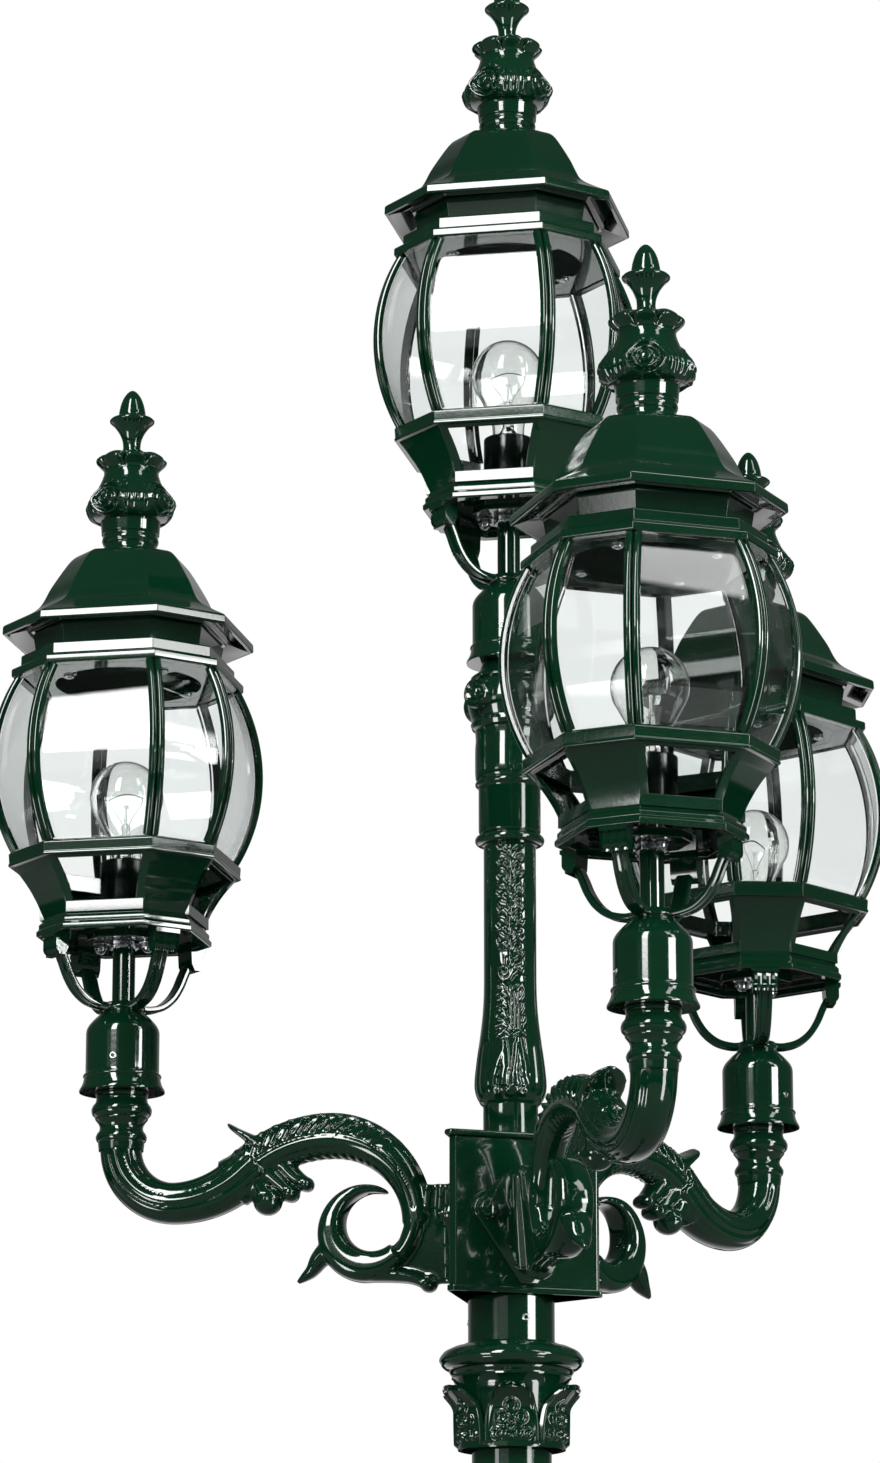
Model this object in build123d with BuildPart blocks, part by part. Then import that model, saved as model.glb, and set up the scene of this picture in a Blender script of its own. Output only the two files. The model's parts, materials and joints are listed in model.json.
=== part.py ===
from build123d import *

import os
from math import cos, radians, sin

# Garden lamp post: a column with three scroll arms and four glazed lanterns.
# Millimetres. The origin is on the ground in the middle of the foot and +Z runs up the post.
# The left arm runs along -X and the other two stand 120 degrees from it.
# Lanterns and arms are drawn about their own axis, with height zero at the lower edge of the
# lantern's cup and +X pointing away from the post, and are then put in place.

# Layout
cup_level = 1760.0
top_cup_rise = 344.0
arm_reach = 322.0
arm_angles = {"left": 180.0, "front": -60.0, "back": 60.0}

# Fits
running_clearance = 0.06
loose_clearance = 0.15
part_gap = 0.3

# Spigot that carries a lantern
spigot_radius = 19.0
spigot_length = 34.0
spigot_shoulder_radius = 22.2
cable_radius = 8.0

# Bracket of a lantern: cup, neck and bowed legs
cup_radius = 30.0
cup_headroom = 4.0
cup_ceiling = 16.0
cup_rim_radius = 34.8
cup_rim_lip = 2.5
cup_flare_height = 9.0
cup_groove_depth = 1.4
cup_groove_width = 2.2
shoulder_rise = 10.0
neck_radius = 17.0
neck_length = 10.0
leg_thickness = 5.5
leg_width = 14.0
leg_root_rise = 3.0
corbel_radius = 64.0
corbel_height = 17.0
corbel_splay = 9.4
corbel_width = 22.0
corbel_overhang = 7.0
grub_radius = 3.0
grub_height = 26.0
grub_stand_out = 0.8
conduit_radius = 9.3
conduit_wall = 1.6

# Gallery of a lantern: floor, flange and tapered tier
wide_half_angle = 27.6
floor_level = 125.0
floor_thickness = 4.0
flange_radius = 73.5
flange_height = 12.0
band_radius = 69.5
band_height = 3.0
tier_radius_low = 67.0
tier_radius_middle = 76.5
tier_radius_high = 94.0
tier_height = 42.0
tier_wall = 3.6
window_sill = 11.0
window_head = 3.0
window_stile = 6.5

# Cage of a lantern: rings, ribs, ceiling and glass
ring_radius = 98.0
ring_height = 13.5
ring_opening = 82.0
cage_height = 146.5
rib_radius_end = 95.0
rib_radius_middle = 115.0
rib_depth = 5.0
rib_width = 12.5
rib_embed = 1.0
ceiling_opening = 60.0
ceiling_thickness = 4.0
upper_ring_height = 19.5
neck_band_radius = 81.0
neck_band_height = 20.2
neck_band_wall = 5.0
lug_reach = 52.0
lug_width = 13.0
glass_thickness = 3.0
glass_edge_gap = 0.6

# Roof of a lantern
rim_radius = 107.0
rim_height = 7.0
rim_wall = 4.0
rim_drop = 4.0
dome_radius = 72.0
brim_rise = 20.0
dome_middle_radius = 67.0
dome_middle_rise = 15.0
dome_shoulder_radius = 46.5
dome_shoulder_rise = 30.0
dome_top_radius = 26.0
dome_top_rise = 10.0
dome_wall = 5.0
stud_radius = 4.0
stud_length = 9.0

# Finial of a lantern: radii, and heights of each part above the one below
step_radius = 20.3
step_height = 9.5
collar_radius = 23.4
collar_height = 14.5
urn_radius = 35.5
urn_height = 38.0
urn_belly = 13.5
throat_radius = 22.6
crown_radius = 28.7
crown_height = 9.5
crown_lobes = 8
crown_notch_radius = 4.0
crown_notch_offset = 1.6
crown_hollow = 1.0
stem_radius = 7.7
stem_rise = 6.5
stem_height = 12.0
saucer_radius = 18.4
saucer_rise = 18.5
saucer_rim = 2.0
saucer_curve = 27.0
acorn_radius = 10.8
acorn_height = 28.5
acorn_seat_radius = 8.6
acorn_belly = 8.0
acorn_tip_radius = 6.7
acorn_tip_length = 8.5
rosette_radius = 11.0
rosette_turn = -22.0
rosette_stand_out = 1.2

# Lamp of a lantern
holder_radius = 20.35
holder_height = 63.0
cap_radius = 13.1
cap_length = 25.5
bulb_radius = 30.0
bulb_length = 85.0
bulb_wall = 1.0
bulb_neck_length = 13.6
bulb_neck_flare = 0.12
lead_hole_radius = 6.0

# Small hardware of a lantern
cap_nut_radius = 5.8
cap_nut_height = 5.0
cap_nut_dome = 4.6
cap_nut_circle = 20.0
lock_nut_radius = 12.5
lock_nut_height = 6.0
ceiling_screw_radius = 2.4
ceiling_head_radius = 4.4
ceiling_head_height = 2.6
grub_key_radius = 1.7
grub_key_depth = 2.5

# Arm: mouldings below the spigot, then four arcs of the tube and the leaf sheath
shoulder_drop = 5.0
bulge_radius = 24.6
bulge_belly = 11.0
bulge_height = 23.0
waist_radius = 18.0
bead_radius = 20.2
bead_belly = 12.0
bead_height = 18.0
tube_radius = 16.8
bend_radius = 46.0
rise_radius = 86.0
rise_angle = 43.0
fall_radius = 72.0
arm_root_reach = 76.0
sheath_half_width = 16.0
sheath_half_height = 18.0
sheath_end_half_width = 13.0
sheath_end_half_height = 12.5

# Arm: scroll, leaves and foot
scroll_radius = 39.5
scroll_hollow_radius = 23.3
scroll_hollow_offset = 36.0
scroll_hollow_drop = 112.3
scroll_offset = (5.5, -8.7)
scroll_mouth = [(-20.0, 42.5), (-60.0, 42.5), (-60.0, 0.0)]
scroll_half_width = 15.0
leaf_half_width = 11.0
spur_half_width = 13.0
tail_half_width = 7.0
leaf_ball_radius = 12.0
leaf_ball_half_width = 14.5
leaf_ball_offset = (-18.0, -23.0)
leaf_curl_radius = 7.0
leaf_curl_half_width = 13.5
leaf_curl_offsets = [(-38.0, -19.0), (-51.0, -11.0)]
foot_knob_radius = 8.0
foot_step = 8.0
foot_half_width = 14.0
foot_top_drop = 74.0
foot_bottom_drop = 162.0
foot_reach = 29.0
flange_thickness = 6.0
flange_half_width = 46.0
flange_half_flat = 6.0
flange_end_half_width = 13.0
flange_middle_drop = 112.0
flange_rise = 36.0
flange_fall = 58.0
flange_corner_radius = 8.0
bolt_radius = 4.0
bolt_head_radius = 7.5
bolt_head_height = 5.3
bolt_inset = 11.0
bolt_tip = 8.0

# Outlines of the arm's leaves: reach and height from the end of the rise, and from the scroll's hollow
rolled_leaf_outline = [
    (-3.0, 0.0),
    (-8.0, -22.0),
    (-33.0, -28.0),
    (-45.0, -24.0),
    (-57.0, -12.0),
    (-77.0, 10.0),
    (-37.0, 18.0),
]
spur_outline = [(-17.0, 16.0), (-11.0, 31.0), (11.0, 38.0), (1.0, 27.0), (-3.0, 6.0)]
tail_leaf_outline = [(11.0, -29.7), (27.0, -27.7), (39.0, -33.7), (57.0, -46.7), (44.0, -48.7), (29.0, -45.7)]

# Hub and its lid
hub_radius = 76.7
hub_corner = 7.0
hub_wall = 5.0
hub_top_drop = 49.0
hub_bottom_drop = 177.0
lid_thickness = 5.0
lid_overhang = 3.0
hub_floor_thickness = 5.0
hub_cable_hole = 20.0
socket_wall = 2.75
socket_length = 36.0
socket_screw_drop = 195.0
terminal_length = 28.0
terminal_width = 16.0
terminal_height = 20.0
terminal_bore = 2.5

# Upper column
column_wall = 4.5
column_foot_growth = 0.6
column_plain_height = 28.0
column_skirt_radius = 29.0
column_skirt_height = 17.0
column_skirt_curve = 20.4
column_skirt_slope = -0.1
column_taper_height = 62.0
column_ring_radius = 28.3
column_ring_height = 12.0
column_neck_radius = 27.0
column_neck_height = 45.0
column_head_radius = 28.0
column_head_height = 38.0
spigot_wall = 2.05
inner_tube_wall = 3.0
inner_tube_tail = 12.0
top_collar_radius = 34.0
top_collar_drop = 57.0
top_boss_radius = 12.5
top_boss_reach = 43.0
top_boss_drop = 31.0
top_boss_turn = 56.5

# Post below the hub
post_radius = 31.5
post_wall = 4.0
capital_torus_radius = 57.5
capital_torus_height = 21.0
capital_torus_belly = 11.5
capital_neck_radius = 47.0
capital_neck_height = 14.0
capital_bell_radius = 43.0
capital_bell_height = 49.0
capital_leaves = 6
capital_leaf_turn = -80.0
capital_leaf_reach = 56.0
capital_leaf_width = 38.0
capital_leaf_thickness = 5.0
capital_leaf_embed = 1.0
capital_leaf_root_drop = 8.0
capital_leaf_tip_drop = 6.0
capital_leaf_tip_height = 5.0
capital_leaf_tip_width = 3.0
ring_level = 800.0
ring_body_radius = 52.0
ring_body_height = 60.0
ring_foot_height = 9.0
ring_belly_height = 21.0
ring_shoulder_height = 33.0
ring_shoulder_width = 6.0
ring_collar_height = 18.0
ring_collar_wall = 5.4
sleeve_radius = 45.0
sleeve_end_radius = 50.0
sleeve_end_height = 26.0
flute_count = 12
flute_radius = 6.0
flute_offset = 3.0
flute_margin = 22.0

# Foot
pedestal_height = 250.0
foot_flange_radius = 185.0
foot_flange_thickness = 14.0
anchor_inset = 35.0
anchor_hole_radius = 7.0
anchor_count = 4
bell_radius = 126.0
bell_wall = 8.0
bell_waist_radius = 66.0
bell_rise = 166.0
bell_flare = 0.9
pedestal_bead_radius = 78.0
pedestal_bead_height = 26.0
pedestal_bead_slope = 6.5
pedestal_neck_radius = 56.0
boss_wall = 6.5
boss_ledge = 10.0
cable_entry_radius = 26.0
web_thickness = 7.0
web_height = 90.0

# Heights that follow from the sizes above, from the lower edge of a lantern's cup
cup_depth = spigot_length + cup_headroom
cup_height = cup_depth + cup_ceiling
neck_level = cup_height + shoulder_rise
leg_root_height = neck_level + leg_root_rise
neck_top = neck_level + neck_length
floor_top = floor_level + floor_thickness
tier_level = floor_level + flange_height + band_height
ring_level_low = tier_level + tier_height
cage_level = ring_level_low + ring_height
cage_top = cage_level + cage_height
band_level = cage_top + upper_ring_height
band_top = band_level + neck_band_height
soffit_level = band_top + part_gap
rim_level = soffit_level - rim_drop
brim_level = rim_level + rim_height
dome_level = brim_level + brim_rise
dome_middle_level = dome_level + dome_middle_rise
dome_shoulder_level = dome_middle_level + dome_shoulder_rise
roof_top = dome_shoulder_level + dome_top_rise
holder_top = floor_top + holder_height
cap_bottom = holder_top - cap_length

# Fitted radii
cup_bore = spigot_radius + running_clearance
conduit_hole = conduit_radius + loose_clearance
holder_bore = cap_radius + part_gap
stud_hole = stud_radius + loose_clearance
grub_hole = grub_radius + loose_clearance
rib_inner_end = rib_radius_end - rib_depth
rib_inner_middle = rib_radius_middle - rib_depth
post_bore = post_radius + loose_clearance
socket_radius = post_bore + socket_wall
ring_collar_radius = post_bore + ring_collar_wall
inner_tube_bore = spigot_radius - spigot_wall
inner_tube_radius = inner_tube_bore - loose_clearance
column_waist_radius = inner_tube_bore + column_wall
column_radius = column_waist_radius + column_foot_growth
bolt_hole = bolt_radius + loose_clearance
bolt_offset = flange_half_width - bolt_inset
anchor_circle = foot_flange_radius - anchor_inset
hub_face = hub_radius / 2
flange_face = hub_face + flange_thickness
lug_circle = (lug_reach + ceiling_opening) / 2
screw_hole = ceiling_screw_radius + loose_clearance

# Heights of the head, from the ground
hub_top_level = cup_level - hub_top_drop
hub_bottom_level = cup_level - hub_bottom_drop
socket_bottom_level = hub_bottom_level - socket_length
top_cup_level = cup_level + top_cup_rise

quarter_angles = [0.0, 90.0, 180.0, 270.0]
corner_angles = [45.0, 135.0, 225.0, 315.0]
cross_angles = [90.0, 270.0]


def radial_plane(angle):
    """Upright plane through the axis, with its x running outwards at this angle."""
    turn = radians(angle)
    return Plane(origin=(0, 0, 0), x_dir=(cos(turn), sin(turn), 0), z_dir=(sin(turn), -cos(turn), 0))


def facing_plane(angle, distance=0.0, level=0.0):
    """Upright plane that faces outwards at this angle, with its y running up."""
    turn = radians(angle)
    outward = (cos(turn), sin(turn), 0)
    middle = (distance * cos(turn), distance * sin(turn), level)
    return Plane(origin=middle, x_dir=(-sin(turn), cos(turn), 0), z_dir=outward)


def octagon(corner_radius):
    """Corners of the lantern's outline: wide sides face the axes, narrow ones lie between."""
    corners = []
    for side in quarter_angles:
        for half in (-wide_half_angle, wide_half_angle):
            turn = radians(side + half)
            corners.append((corner_radius * cos(turn), corner_radius * sin(turn)))
    return corners


def corner_directions():
    """Angles of the eight corners of the lantern's outline."""
    return [side + half for side in quarter_angles for half in (-wide_half_angle, wide_half_angle)]


def octagon_slab(corner_radius, level, height, mode=Mode.ADD):
    """Upright eight-sided slab in the part that is being built."""
    with BuildSketch(Plane.XY.offset(level)) as outline:
        Polygon(*octagon(corner_radius), align=None)
    extrude(outline.sketch, amount=height, mode=mode)


def octagon_taper(low_radius, low_level, high_radius, high_level, mode=Mode.ADD):
    """Eight-sided frustum in the part that is being built."""
    with BuildSketch(Plane.XY.offset(low_level)) as low_outline:
        Polygon(*octagon(low_radius), align=None)
    with BuildSketch(Plane.XY.offset(high_level)) as high_outline:
        Polygon(*octagon(high_radius), align=None)
    loft([low_outline.sketch, high_outline.sketch], ruled=True, mode=mode)


def round_hole(radius, level, height, mode=Mode.SUBTRACT):
    """Upright round hole, or a round pillar, on the axis of the part that is being built."""
    with BuildSketch(Plane.XY.offset(level)) as outline:
        Circle(radius)
    extrude(outline.sketch, amount=height, mode=mode)


os.makedirs("parts", exist_ok=True)

# Bracket: cup, neck, four bowed legs and their corbels
groove_radius = cup_radius - cup_groove_depth
groove_top = cup_flare_height + cup_groove_width
leg_bow_width = corbel_radius - neck_radius
corbel_level = floor_level - corbel_height
leg_bow_height = corbel_level - leg_root_height
with BuildPart() as bracket:
    with BuildSketch(Plane.XZ):
        with BuildLine():
            Polyline(
                (neck_radius, neck_level),
                (neck_radius, neck_top),
                (conduit_hole, neck_top),
                (conduit_hole, cup_depth),
                (cup_bore, cup_depth),
                (cup_bore, 0),
                (cup_rim_radius, 0),
                (cup_rim_radius, cup_rim_lip),
            )
            EllipticalCenterArc(
                (cup_rim_radius, cup_flare_height),
                cup_rim_radius - cup_radius,
                cup_flare_height - cup_rim_lip,
                start_angle=180,
                arc_size=90,
            )
            Polyline(
                (cup_radius, cup_flare_height),
                (groove_radius, cup_flare_height),
                (groove_radius, groove_top),
                (cup_radius, groove_top),
                (cup_radius, cup_height),
            )
            EllipticalCenterArc(
                (neck_radius, cup_height),
                cup_radius - neck_radius,
                shoulder_rise,
                start_angle=0,
                arc_size=90,
            )
        make_face()
    revolve(axis=Axis.Z)
    with BuildSketch(*[radial_plane(angle) for angle in corner_angles]):
        with BuildLine():
            half = leg_thickness / 2
            bow_centre = (neck_radius, corbel_level)
            outer = EllipticalCenterArc(
                bow_centre, leg_bow_width + half, leg_bow_height + half, start_angle=270, arc_size=90
            )
            inner = EllipticalCenterArc(
                bow_centre, leg_bow_width - half, leg_bow_height - half, start_angle=270, arc_size=90
            )
            Polyline(
                outer @ 0,
                (conduit_hole + half, (outer @ 0).Y),
                (conduit_hole + half, (inner @ 0).Y),
                inner @ 0,
            )
            Line(outer @ 1, inner @ 1)
        make_face()
    extrude(amount=leg_width / 2, both=True)
    with BuildSketch(*[radial_plane(angle) for angle in corner_angles]):
        with BuildLine():
            Polyline(
                (corbel_radius - half, corbel_level),
                (corbel_radius + half, corbel_level),
                (corbel_radius + corbel_overhang, corbel_level + corbel_splay),
                (corbel_radius + corbel_overhang, floor_level),
                (corbel_radius - corbel_overhang, floor_level),
                close=True,
            )
        make_face()
    extrude(amount=corbel_width / 2, both=True)
    with BuildSketch(*[facing_plane(angle) for angle in cross_angles]):
        with Locations((0, grub_height)):
            Circle(grub_hole)
    extrude(amount=cup_rim_radius, mode=Mode.SUBTRACT)

# Conduit: threaded tube from the cup up to the floor
with BuildPart() as conduit:
    with BuildSketch(Plane.XY.offset(cup_depth)):
        Circle(conduit_radius)
        Circle(conduit_radius - conduit_wall, mode=Mode.SUBTRACT)
    extrude(amount=floor_top - cup_depth)

# Gallery: floor, stepped flange and tapered tier with a window in each wide side
half_chord = sin(radians(wide_half_angle))
window_low = tier_radius_low * half_chord - window_stile
window_high = tier_radius_high * half_chord - window_stile
tier_middle = tier_level + tier_height / 2
inside_low = tier_radius_low - tier_wall
inside_middle = tier_radius_middle - tier_wall
inside_high = tier_radius_high - tier_wall
with BuildPart() as gallery:
    octagon_slab(flange_radius, floor_level, flange_height)
    octagon_slab(band_radius, floor_level + flange_height, band_height)
    octagon_taper(tier_radius_low, tier_level, tier_radius_middle, tier_middle)
    octagon_taper(tier_radius_middle, tier_middle, tier_radius_high, ring_level_low)
    octagon_slab(inside_low, floor_top, tier_level - floor_top, Mode.SUBTRACT)
    octagon_taper(inside_low, tier_level, inside_middle, tier_middle, Mode.SUBTRACT)
    octagon_taper(inside_middle, tier_middle, inside_high, ring_level_low, Mode.SUBTRACT)
    round_hole(conduit_hole, floor_level, floor_thickness)
    with BuildSketch(*[facing_plane(angle) for angle in quarter_angles]):
        Polygon(
            (-window_low, tier_level + window_sill),
            (window_low, tier_level + window_sill),
            (window_high, ring_level_low - window_head),
            (-window_high, ring_level_low - window_head),
            align=None,
        )
    extrude(amount=tier_radius_high, mode=Mode.SUBTRACT)

# Cage: lower ring, eight bowed ribs, upper ring with its ceiling and neck band
rib_middle = cage_level + cage_height / 2
with BuildPart() as cage:
    octagon_slab(ring_radius, ring_level_low, ring_height)
    octagon_slab(ring_opening, ring_level_low, ring_height, Mode.SUBTRACT)
    octagon_slab(ring_radius, cage_top, upper_ring_height)
    octagon_slab(neck_band_radius, band_level, neck_band_height)
    octagon_slab(
        neck_band_radius - neck_band_wall,
        cage_top + ceiling_thickness,
        band_top - cage_top - ceiling_thickness,
        Mode.SUBTRACT,
    )
    round_hole(ceiling_opening, cage_top, ceiling_thickness)
    with BuildSketch(Plane.XY.offset(cage_top)):
        with PolarLocations(lug_circle + ceiling_thickness / 2, len(corner_angles), corner_angles[0]):
            Rectangle(ceiling_opening - lug_reach + ceiling_thickness, lug_width)
        with PolarLocations(lug_circle, len(corner_angles), corner_angles[0]):
            Circle(screw_hole, mode=Mode.SUBTRACT)
    extrude(amount=ceiling_thickness)
    with BuildSketch(*[radial_plane(angle) for angle in corner_directions()]):
        with BuildLine():
            low = cage_level - rib_embed
            high = cage_top + rib_embed
            outer = ThreePointArc(
                (rib_radius_end, low),
                (rib_radius_middle, rib_middle),
                (rib_radius_end, high),
            )
            inner = ThreePointArc(
                (rib_inner_end, low),
                (rib_inner_middle, rib_middle),
                (rib_inner_end, high),
            )
            Line(outer @ 0, inner @ 0)
            Line(outer @ 1, inner @ 1)
        make_face()
    extrude(amount=rib_width / 2, both=True)


def glass_pane(half_angle):
    """One bowed pane that faces +X, cut to the sector between two ribs."""
    share = cos(radians(half_angle))
    end = (rib_inner_end - part_gap) * share
    middle = (rib_inner_middle - part_gap) * share
    low = cage_level + loose_clearance
    high = cage_top - loose_clearance
    reach = 2 * rib_radius_middle
    sector_start = glass_edge_gap / sin(radians(half_angle))
    sector_end = sector_start + reach * share
    sector_half = reach * sin(radians(half_angle))
    with BuildPart() as pane:
        with BuildSketch(Plane.XZ):
            with BuildLine():
                outer = ThreePointArc((end, low), (middle, rib_middle), (end, high))
                inner = ThreePointArc(
                    (end - glass_thickness, low),
                    (middle - glass_thickness, rib_middle),
                    (end - glass_thickness, high),
                )
                Line(outer @ 0, inner @ 0)
                Line(outer @ 1, inner @ 1)
            make_face()
        extrude(amount=rib_radius_middle, both=True)
        with BuildSketch(Plane.XY.offset(low)):
            Polygon((sector_start, 0), (sector_end, sector_half), (sector_end, -sector_half), align=None)
        extrude(amount=high - low, mode=Mode.INTERSECT)
    return pane.part


# Glass: four wide and four narrow panes
wide_pane = glass_pane(wide_half_angle)
narrow_pane = glass_pane(45.0 - wide_half_angle)
with BuildPart() as glass:
    with PolarLocations(0, len(quarter_angles)):
        add(wide_pane)
    with PolarLocations(0, len(corner_angles), corner_angles[0]):
        add(narrow_pane)

# Roof: rim, brim and hollow dome
with BuildPart() as roof:
    octagon_slab(rim_radius, rim_level, rim_height)
    octagon_taper(rim_radius, brim_level, dome_radius, dome_level)
    octagon_taper(dome_radius, dome_level, dome_middle_radius, dome_middle_level)
    octagon_taper(dome_middle_radius, dome_middle_level, dome_shoulder_radius, dome_shoulder_level)
    octagon_taper(dome_shoulder_radius, dome_shoulder_level, dome_top_radius, roof_top)
    octagon_slab(rim_radius - rim_wall, rim_level, rim_drop, Mode.SUBTRACT)
    octagon_slab(dome_radius - dome_wall, soffit_level, dome_level - soffit_level, Mode.SUBTRACT)
    octagon_taper(
        dome_radius - dome_wall, dome_level, dome_middle_radius - dome_wall, dome_middle_level, Mode.SUBTRACT
    )
    octagon_taper(
        dome_middle_radius - dome_wall,
        dome_middle_level,
        dome_shoulder_radius - dome_wall,
        dome_shoulder_level,
        Mode.SUBTRACT,
    )
    round_hole(stud_hole, dome_shoulder_level, dome_top_rise)

# Finial: step, collar, urn, crown, stem, saucer and acorn, with rosettes round the urn
step_top = roof_top + step_height
collar_top = step_top + collar_height
urn_top = collar_top + urn_height
crown_top = urn_top + crown_height
stem_bottom = crown_top + stem_rise
stem_top = stem_bottom + stem_height
saucer_level = stem_top + saucer_rise
saucer_top = saucer_level + saucer_rim
finial_top = saucer_top + acorn_height
with BuildPart() as finial:
    with BuildSketch(Plane.XZ):
        with BuildLine():
            Polyline(
                (0, finial_top),
                (0, roof_top - stud_length),
                (stud_radius, roof_top - stud_length),
                (stud_radius, roof_top),
                (step_radius, roof_top),
                (step_radius, step_top),
                (collar_radius, step_top),
                (collar_radius, collar_top),
            )
            ThreePointArc(
                (collar_radius, collar_top),
                (urn_radius, collar_top + urn_belly),
                (throat_radius, urn_top),
            )
            ThreePointArc(
                (throat_radius, urn_top),
                ((throat_radius + crown_radius) / 2 - crown_hollow, urn_top + crown_height / 2),
                (crown_radius, crown_top),
            )
            Polyline((crown_radius, crown_top), (stem_radius, stem_bottom), (stem_radius, stem_top))
            RadiusArc((stem_radius, stem_top), (saucer_radius, saucer_level), saucer_curve)
            Line((saucer_radius, saucer_level), (acorn_seat_radius, saucer_top))
            ThreePointArc(
                (acorn_seat_radius, saucer_top),
                (acorn_radius, saucer_top + acorn_belly),
                (acorn_tip_radius, finial_top - acorn_tip_length),
            )
            Line((acorn_tip_radius, finial_top - acorn_tip_length), (0, finial_top))
        make_face()
    revolve(axis=Axis.Z)
    with BuildSketch(Plane.XY.offset(crown_top - crown_height / 2)):
        with PolarLocations(crown_radius + crown_notch_offset, crown_lobes):
            Circle(crown_notch_radius)
    extrude(amount=crown_height, mode=Mode.SUBTRACT)
    rosette_planes = [facing_plane(angle + rosette_turn, throat_radius) for angle in quarter_angles]
    with BuildSketch(*rosette_planes):
        with Locations((0, collar_top + urn_belly)):
            Circle(rosette_radius)
    extrude(amount=urn_radius + rosette_stand_out - throat_radius)

# Lampholder: sleeve with the socket of the bulb
with BuildPart() as lampholder:
    round_hole(holder_radius, floor_top, holder_height, Mode.ADD)
    round_hole(holder_bore, cap_bottom - part_gap, cap_length + part_gap)
    round_hole(lead_hole_radius, floor_top, cap_bottom - part_gap - floor_top)

# Bulb: screw cap and pear-shaped envelope, open where it is cemented into the cap
bulb_top = holder_top + bulb_length
bulb_middle = bulb_top - bulb_radius
bulb_neck = holder_top + bulb_neck_length
with BuildPart() as bulb_cap:
    round_hole(cap_radius, cap_bottom, cap_length, Mode.ADD)
with BuildPart() as bulb_glass:
    with BuildSketch(Plane.XZ):
        with BuildLine():
            inner_neck = cap_radius - bulb_wall
            Line((cap_radius, holder_top), (cap_radius, bulb_neck))
            Spline(
                (cap_radius, bulb_neck),
                (bulb_radius, bulb_middle),
                tangents=((bulb_neck_flare, 1), (0, 1)),
            )
            CenterArc((0, bulb_middle), bulb_radius, 0, 90)
            Line((0, bulb_top), (0, bulb_top - bulb_wall))
            CenterArc((0, bulb_middle), bulb_radius - bulb_wall, 0, 90)
            Spline(
                (inner_neck, bulb_neck),
                (bulb_radius - bulb_wall, bulb_middle),
                tangents=((bulb_neck_flare, 1), (0, 1)),
            )
            Line((inner_neck, bulb_neck), (inner_neck, holder_top))
            Line((inner_neck, holder_top), (cap_radius, holder_top))
        make_face()
    revolve(axis=Axis.Z)

# Hardware: grub screws in the cup, cap nuts and lock nut under the floor, ceiling screws
grub_length = cup_radius + grub_stand_out - spigot_radius - part_gap
with BuildPart() as hardware:
    with BuildSketch(*[facing_plane(angle, spigot_radius + part_gap) for angle in cross_angles]):
        with Locations((0, grub_height)):
            Circle(grub_radius)
    extrude(amount=grub_length)
    with BuildSketch(*[facing_plane(angle, cup_radius + grub_stand_out) for angle in cross_angles]):
        with Locations((0, grub_height)):
            RegularPolygon(grub_key_radius, 6)
    extrude(amount=-grub_key_depth, mode=Mode.SUBTRACT)
    with BuildSketch(Plane.XY.offset(floor_level)):
        with PolarLocations(cap_nut_circle, 2):
            RegularPolygon(cap_nut_radius, 6)
    extrude(amount=-cap_nut_height)
    with PolarLocations(cap_nut_circle, 2):
        with Locations((0, 0, floor_level - cap_nut_height)):
            Sphere(cap_nut_dome, arc_size1=-90, arc_size2=0)
    with BuildSketch(Plane.XY.offset(floor_level)):
        RegularPolygon(lock_nut_radius, 6)
        Circle(conduit_hole, mode=Mode.SUBTRACT)
    extrude(amount=-lock_nut_height)
    with BuildSketch(Plane.XY.offset(cage_top)):
        with PolarLocations(lug_circle, len(corner_angles), corner_angles[0]):
            Circle(ceiling_screw_radius)
    extrude(amount=ceiling_thickness)
    with BuildSketch(Plane.XY.offset(cage_top)):
        with PolarLocations(lug_circle, len(corner_angles), corner_angles[0]):
            Circle(ceiling_head_radius)
    extrude(amount=-ceiling_head_height)


# Path of an arm in its upright plane: reach and drop of the arcs' ends and centres
waist_drop = shoulder_drop + bulge_height
moulding_drop = waist_drop + bead_height
rise_sin = sin(radians(rise_angle))
rise_cos = cos(radians(rise_angle))
bend_start = (arm_reach, -moulding_drop)
bend_centre = (arm_reach - bend_radius, -moulding_drop)
bend_end = (bend_centre[0], bend_centre[1] - bend_radius)
rise_centre = (bend_end[0], bend_end[1] + rise_radius)
rise_end = (rise_centre[0] - rise_radius * rise_sin, rise_centre[1] - rise_radius * rise_cos)
crest_radius = (rise_end[0] - fall_radius - arm_root_reach) / rise_sin
crest_centre = (rise_end[0] - crest_radius * rise_sin, rise_end[1] - crest_radius * rise_cos)
crest_end = (crest_centre[0], crest_centre[1] + crest_radius)
fall_centre = (crest_end[0], crest_end[1] - fall_radius)
fall_end = (fall_centre[0] - fall_radius, fall_centre[1])
scroll_hollow = (fall_end[0] + scroll_hollow_offset, -scroll_hollow_drop)


def path_plane(point, heading):
    """Plane across the arm's path at a point, facing along the path, with its x across the arm."""
    return Plane(origin=(point[0], 0, point[1]), x_dir=(0, 1, 0), z_dir=(heading[0], 0, heading[1]))


def turn_axis(centre, side):
    """Level axis through an arc's centre; side 1 turns the path one way and -1 the other."""
    return Axis((centre[0], 0, centre[1]), (0, side, 0))


def tube_arcs(radius, mode):
    """The two lower arcs of the arm, round in section, in the part that is being built."""
    with BuildSketch(path_plane(bend_start, (0, -1))) as bend_section:
        Circle(radius)
    revolve(bend_section.sketch, axis=turn_axis(bend_centre, 1), revolution_arc=90, mode=mode)
    with BuildSketch(path_plane(bend_end, (-1, 0))) as rise_section:
        Circle(radius)
    revolve(rise_section.sketch, axis=turn_axis(rise_centre, 1), revolution_arc=rise_angle, mode=mode)


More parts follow.
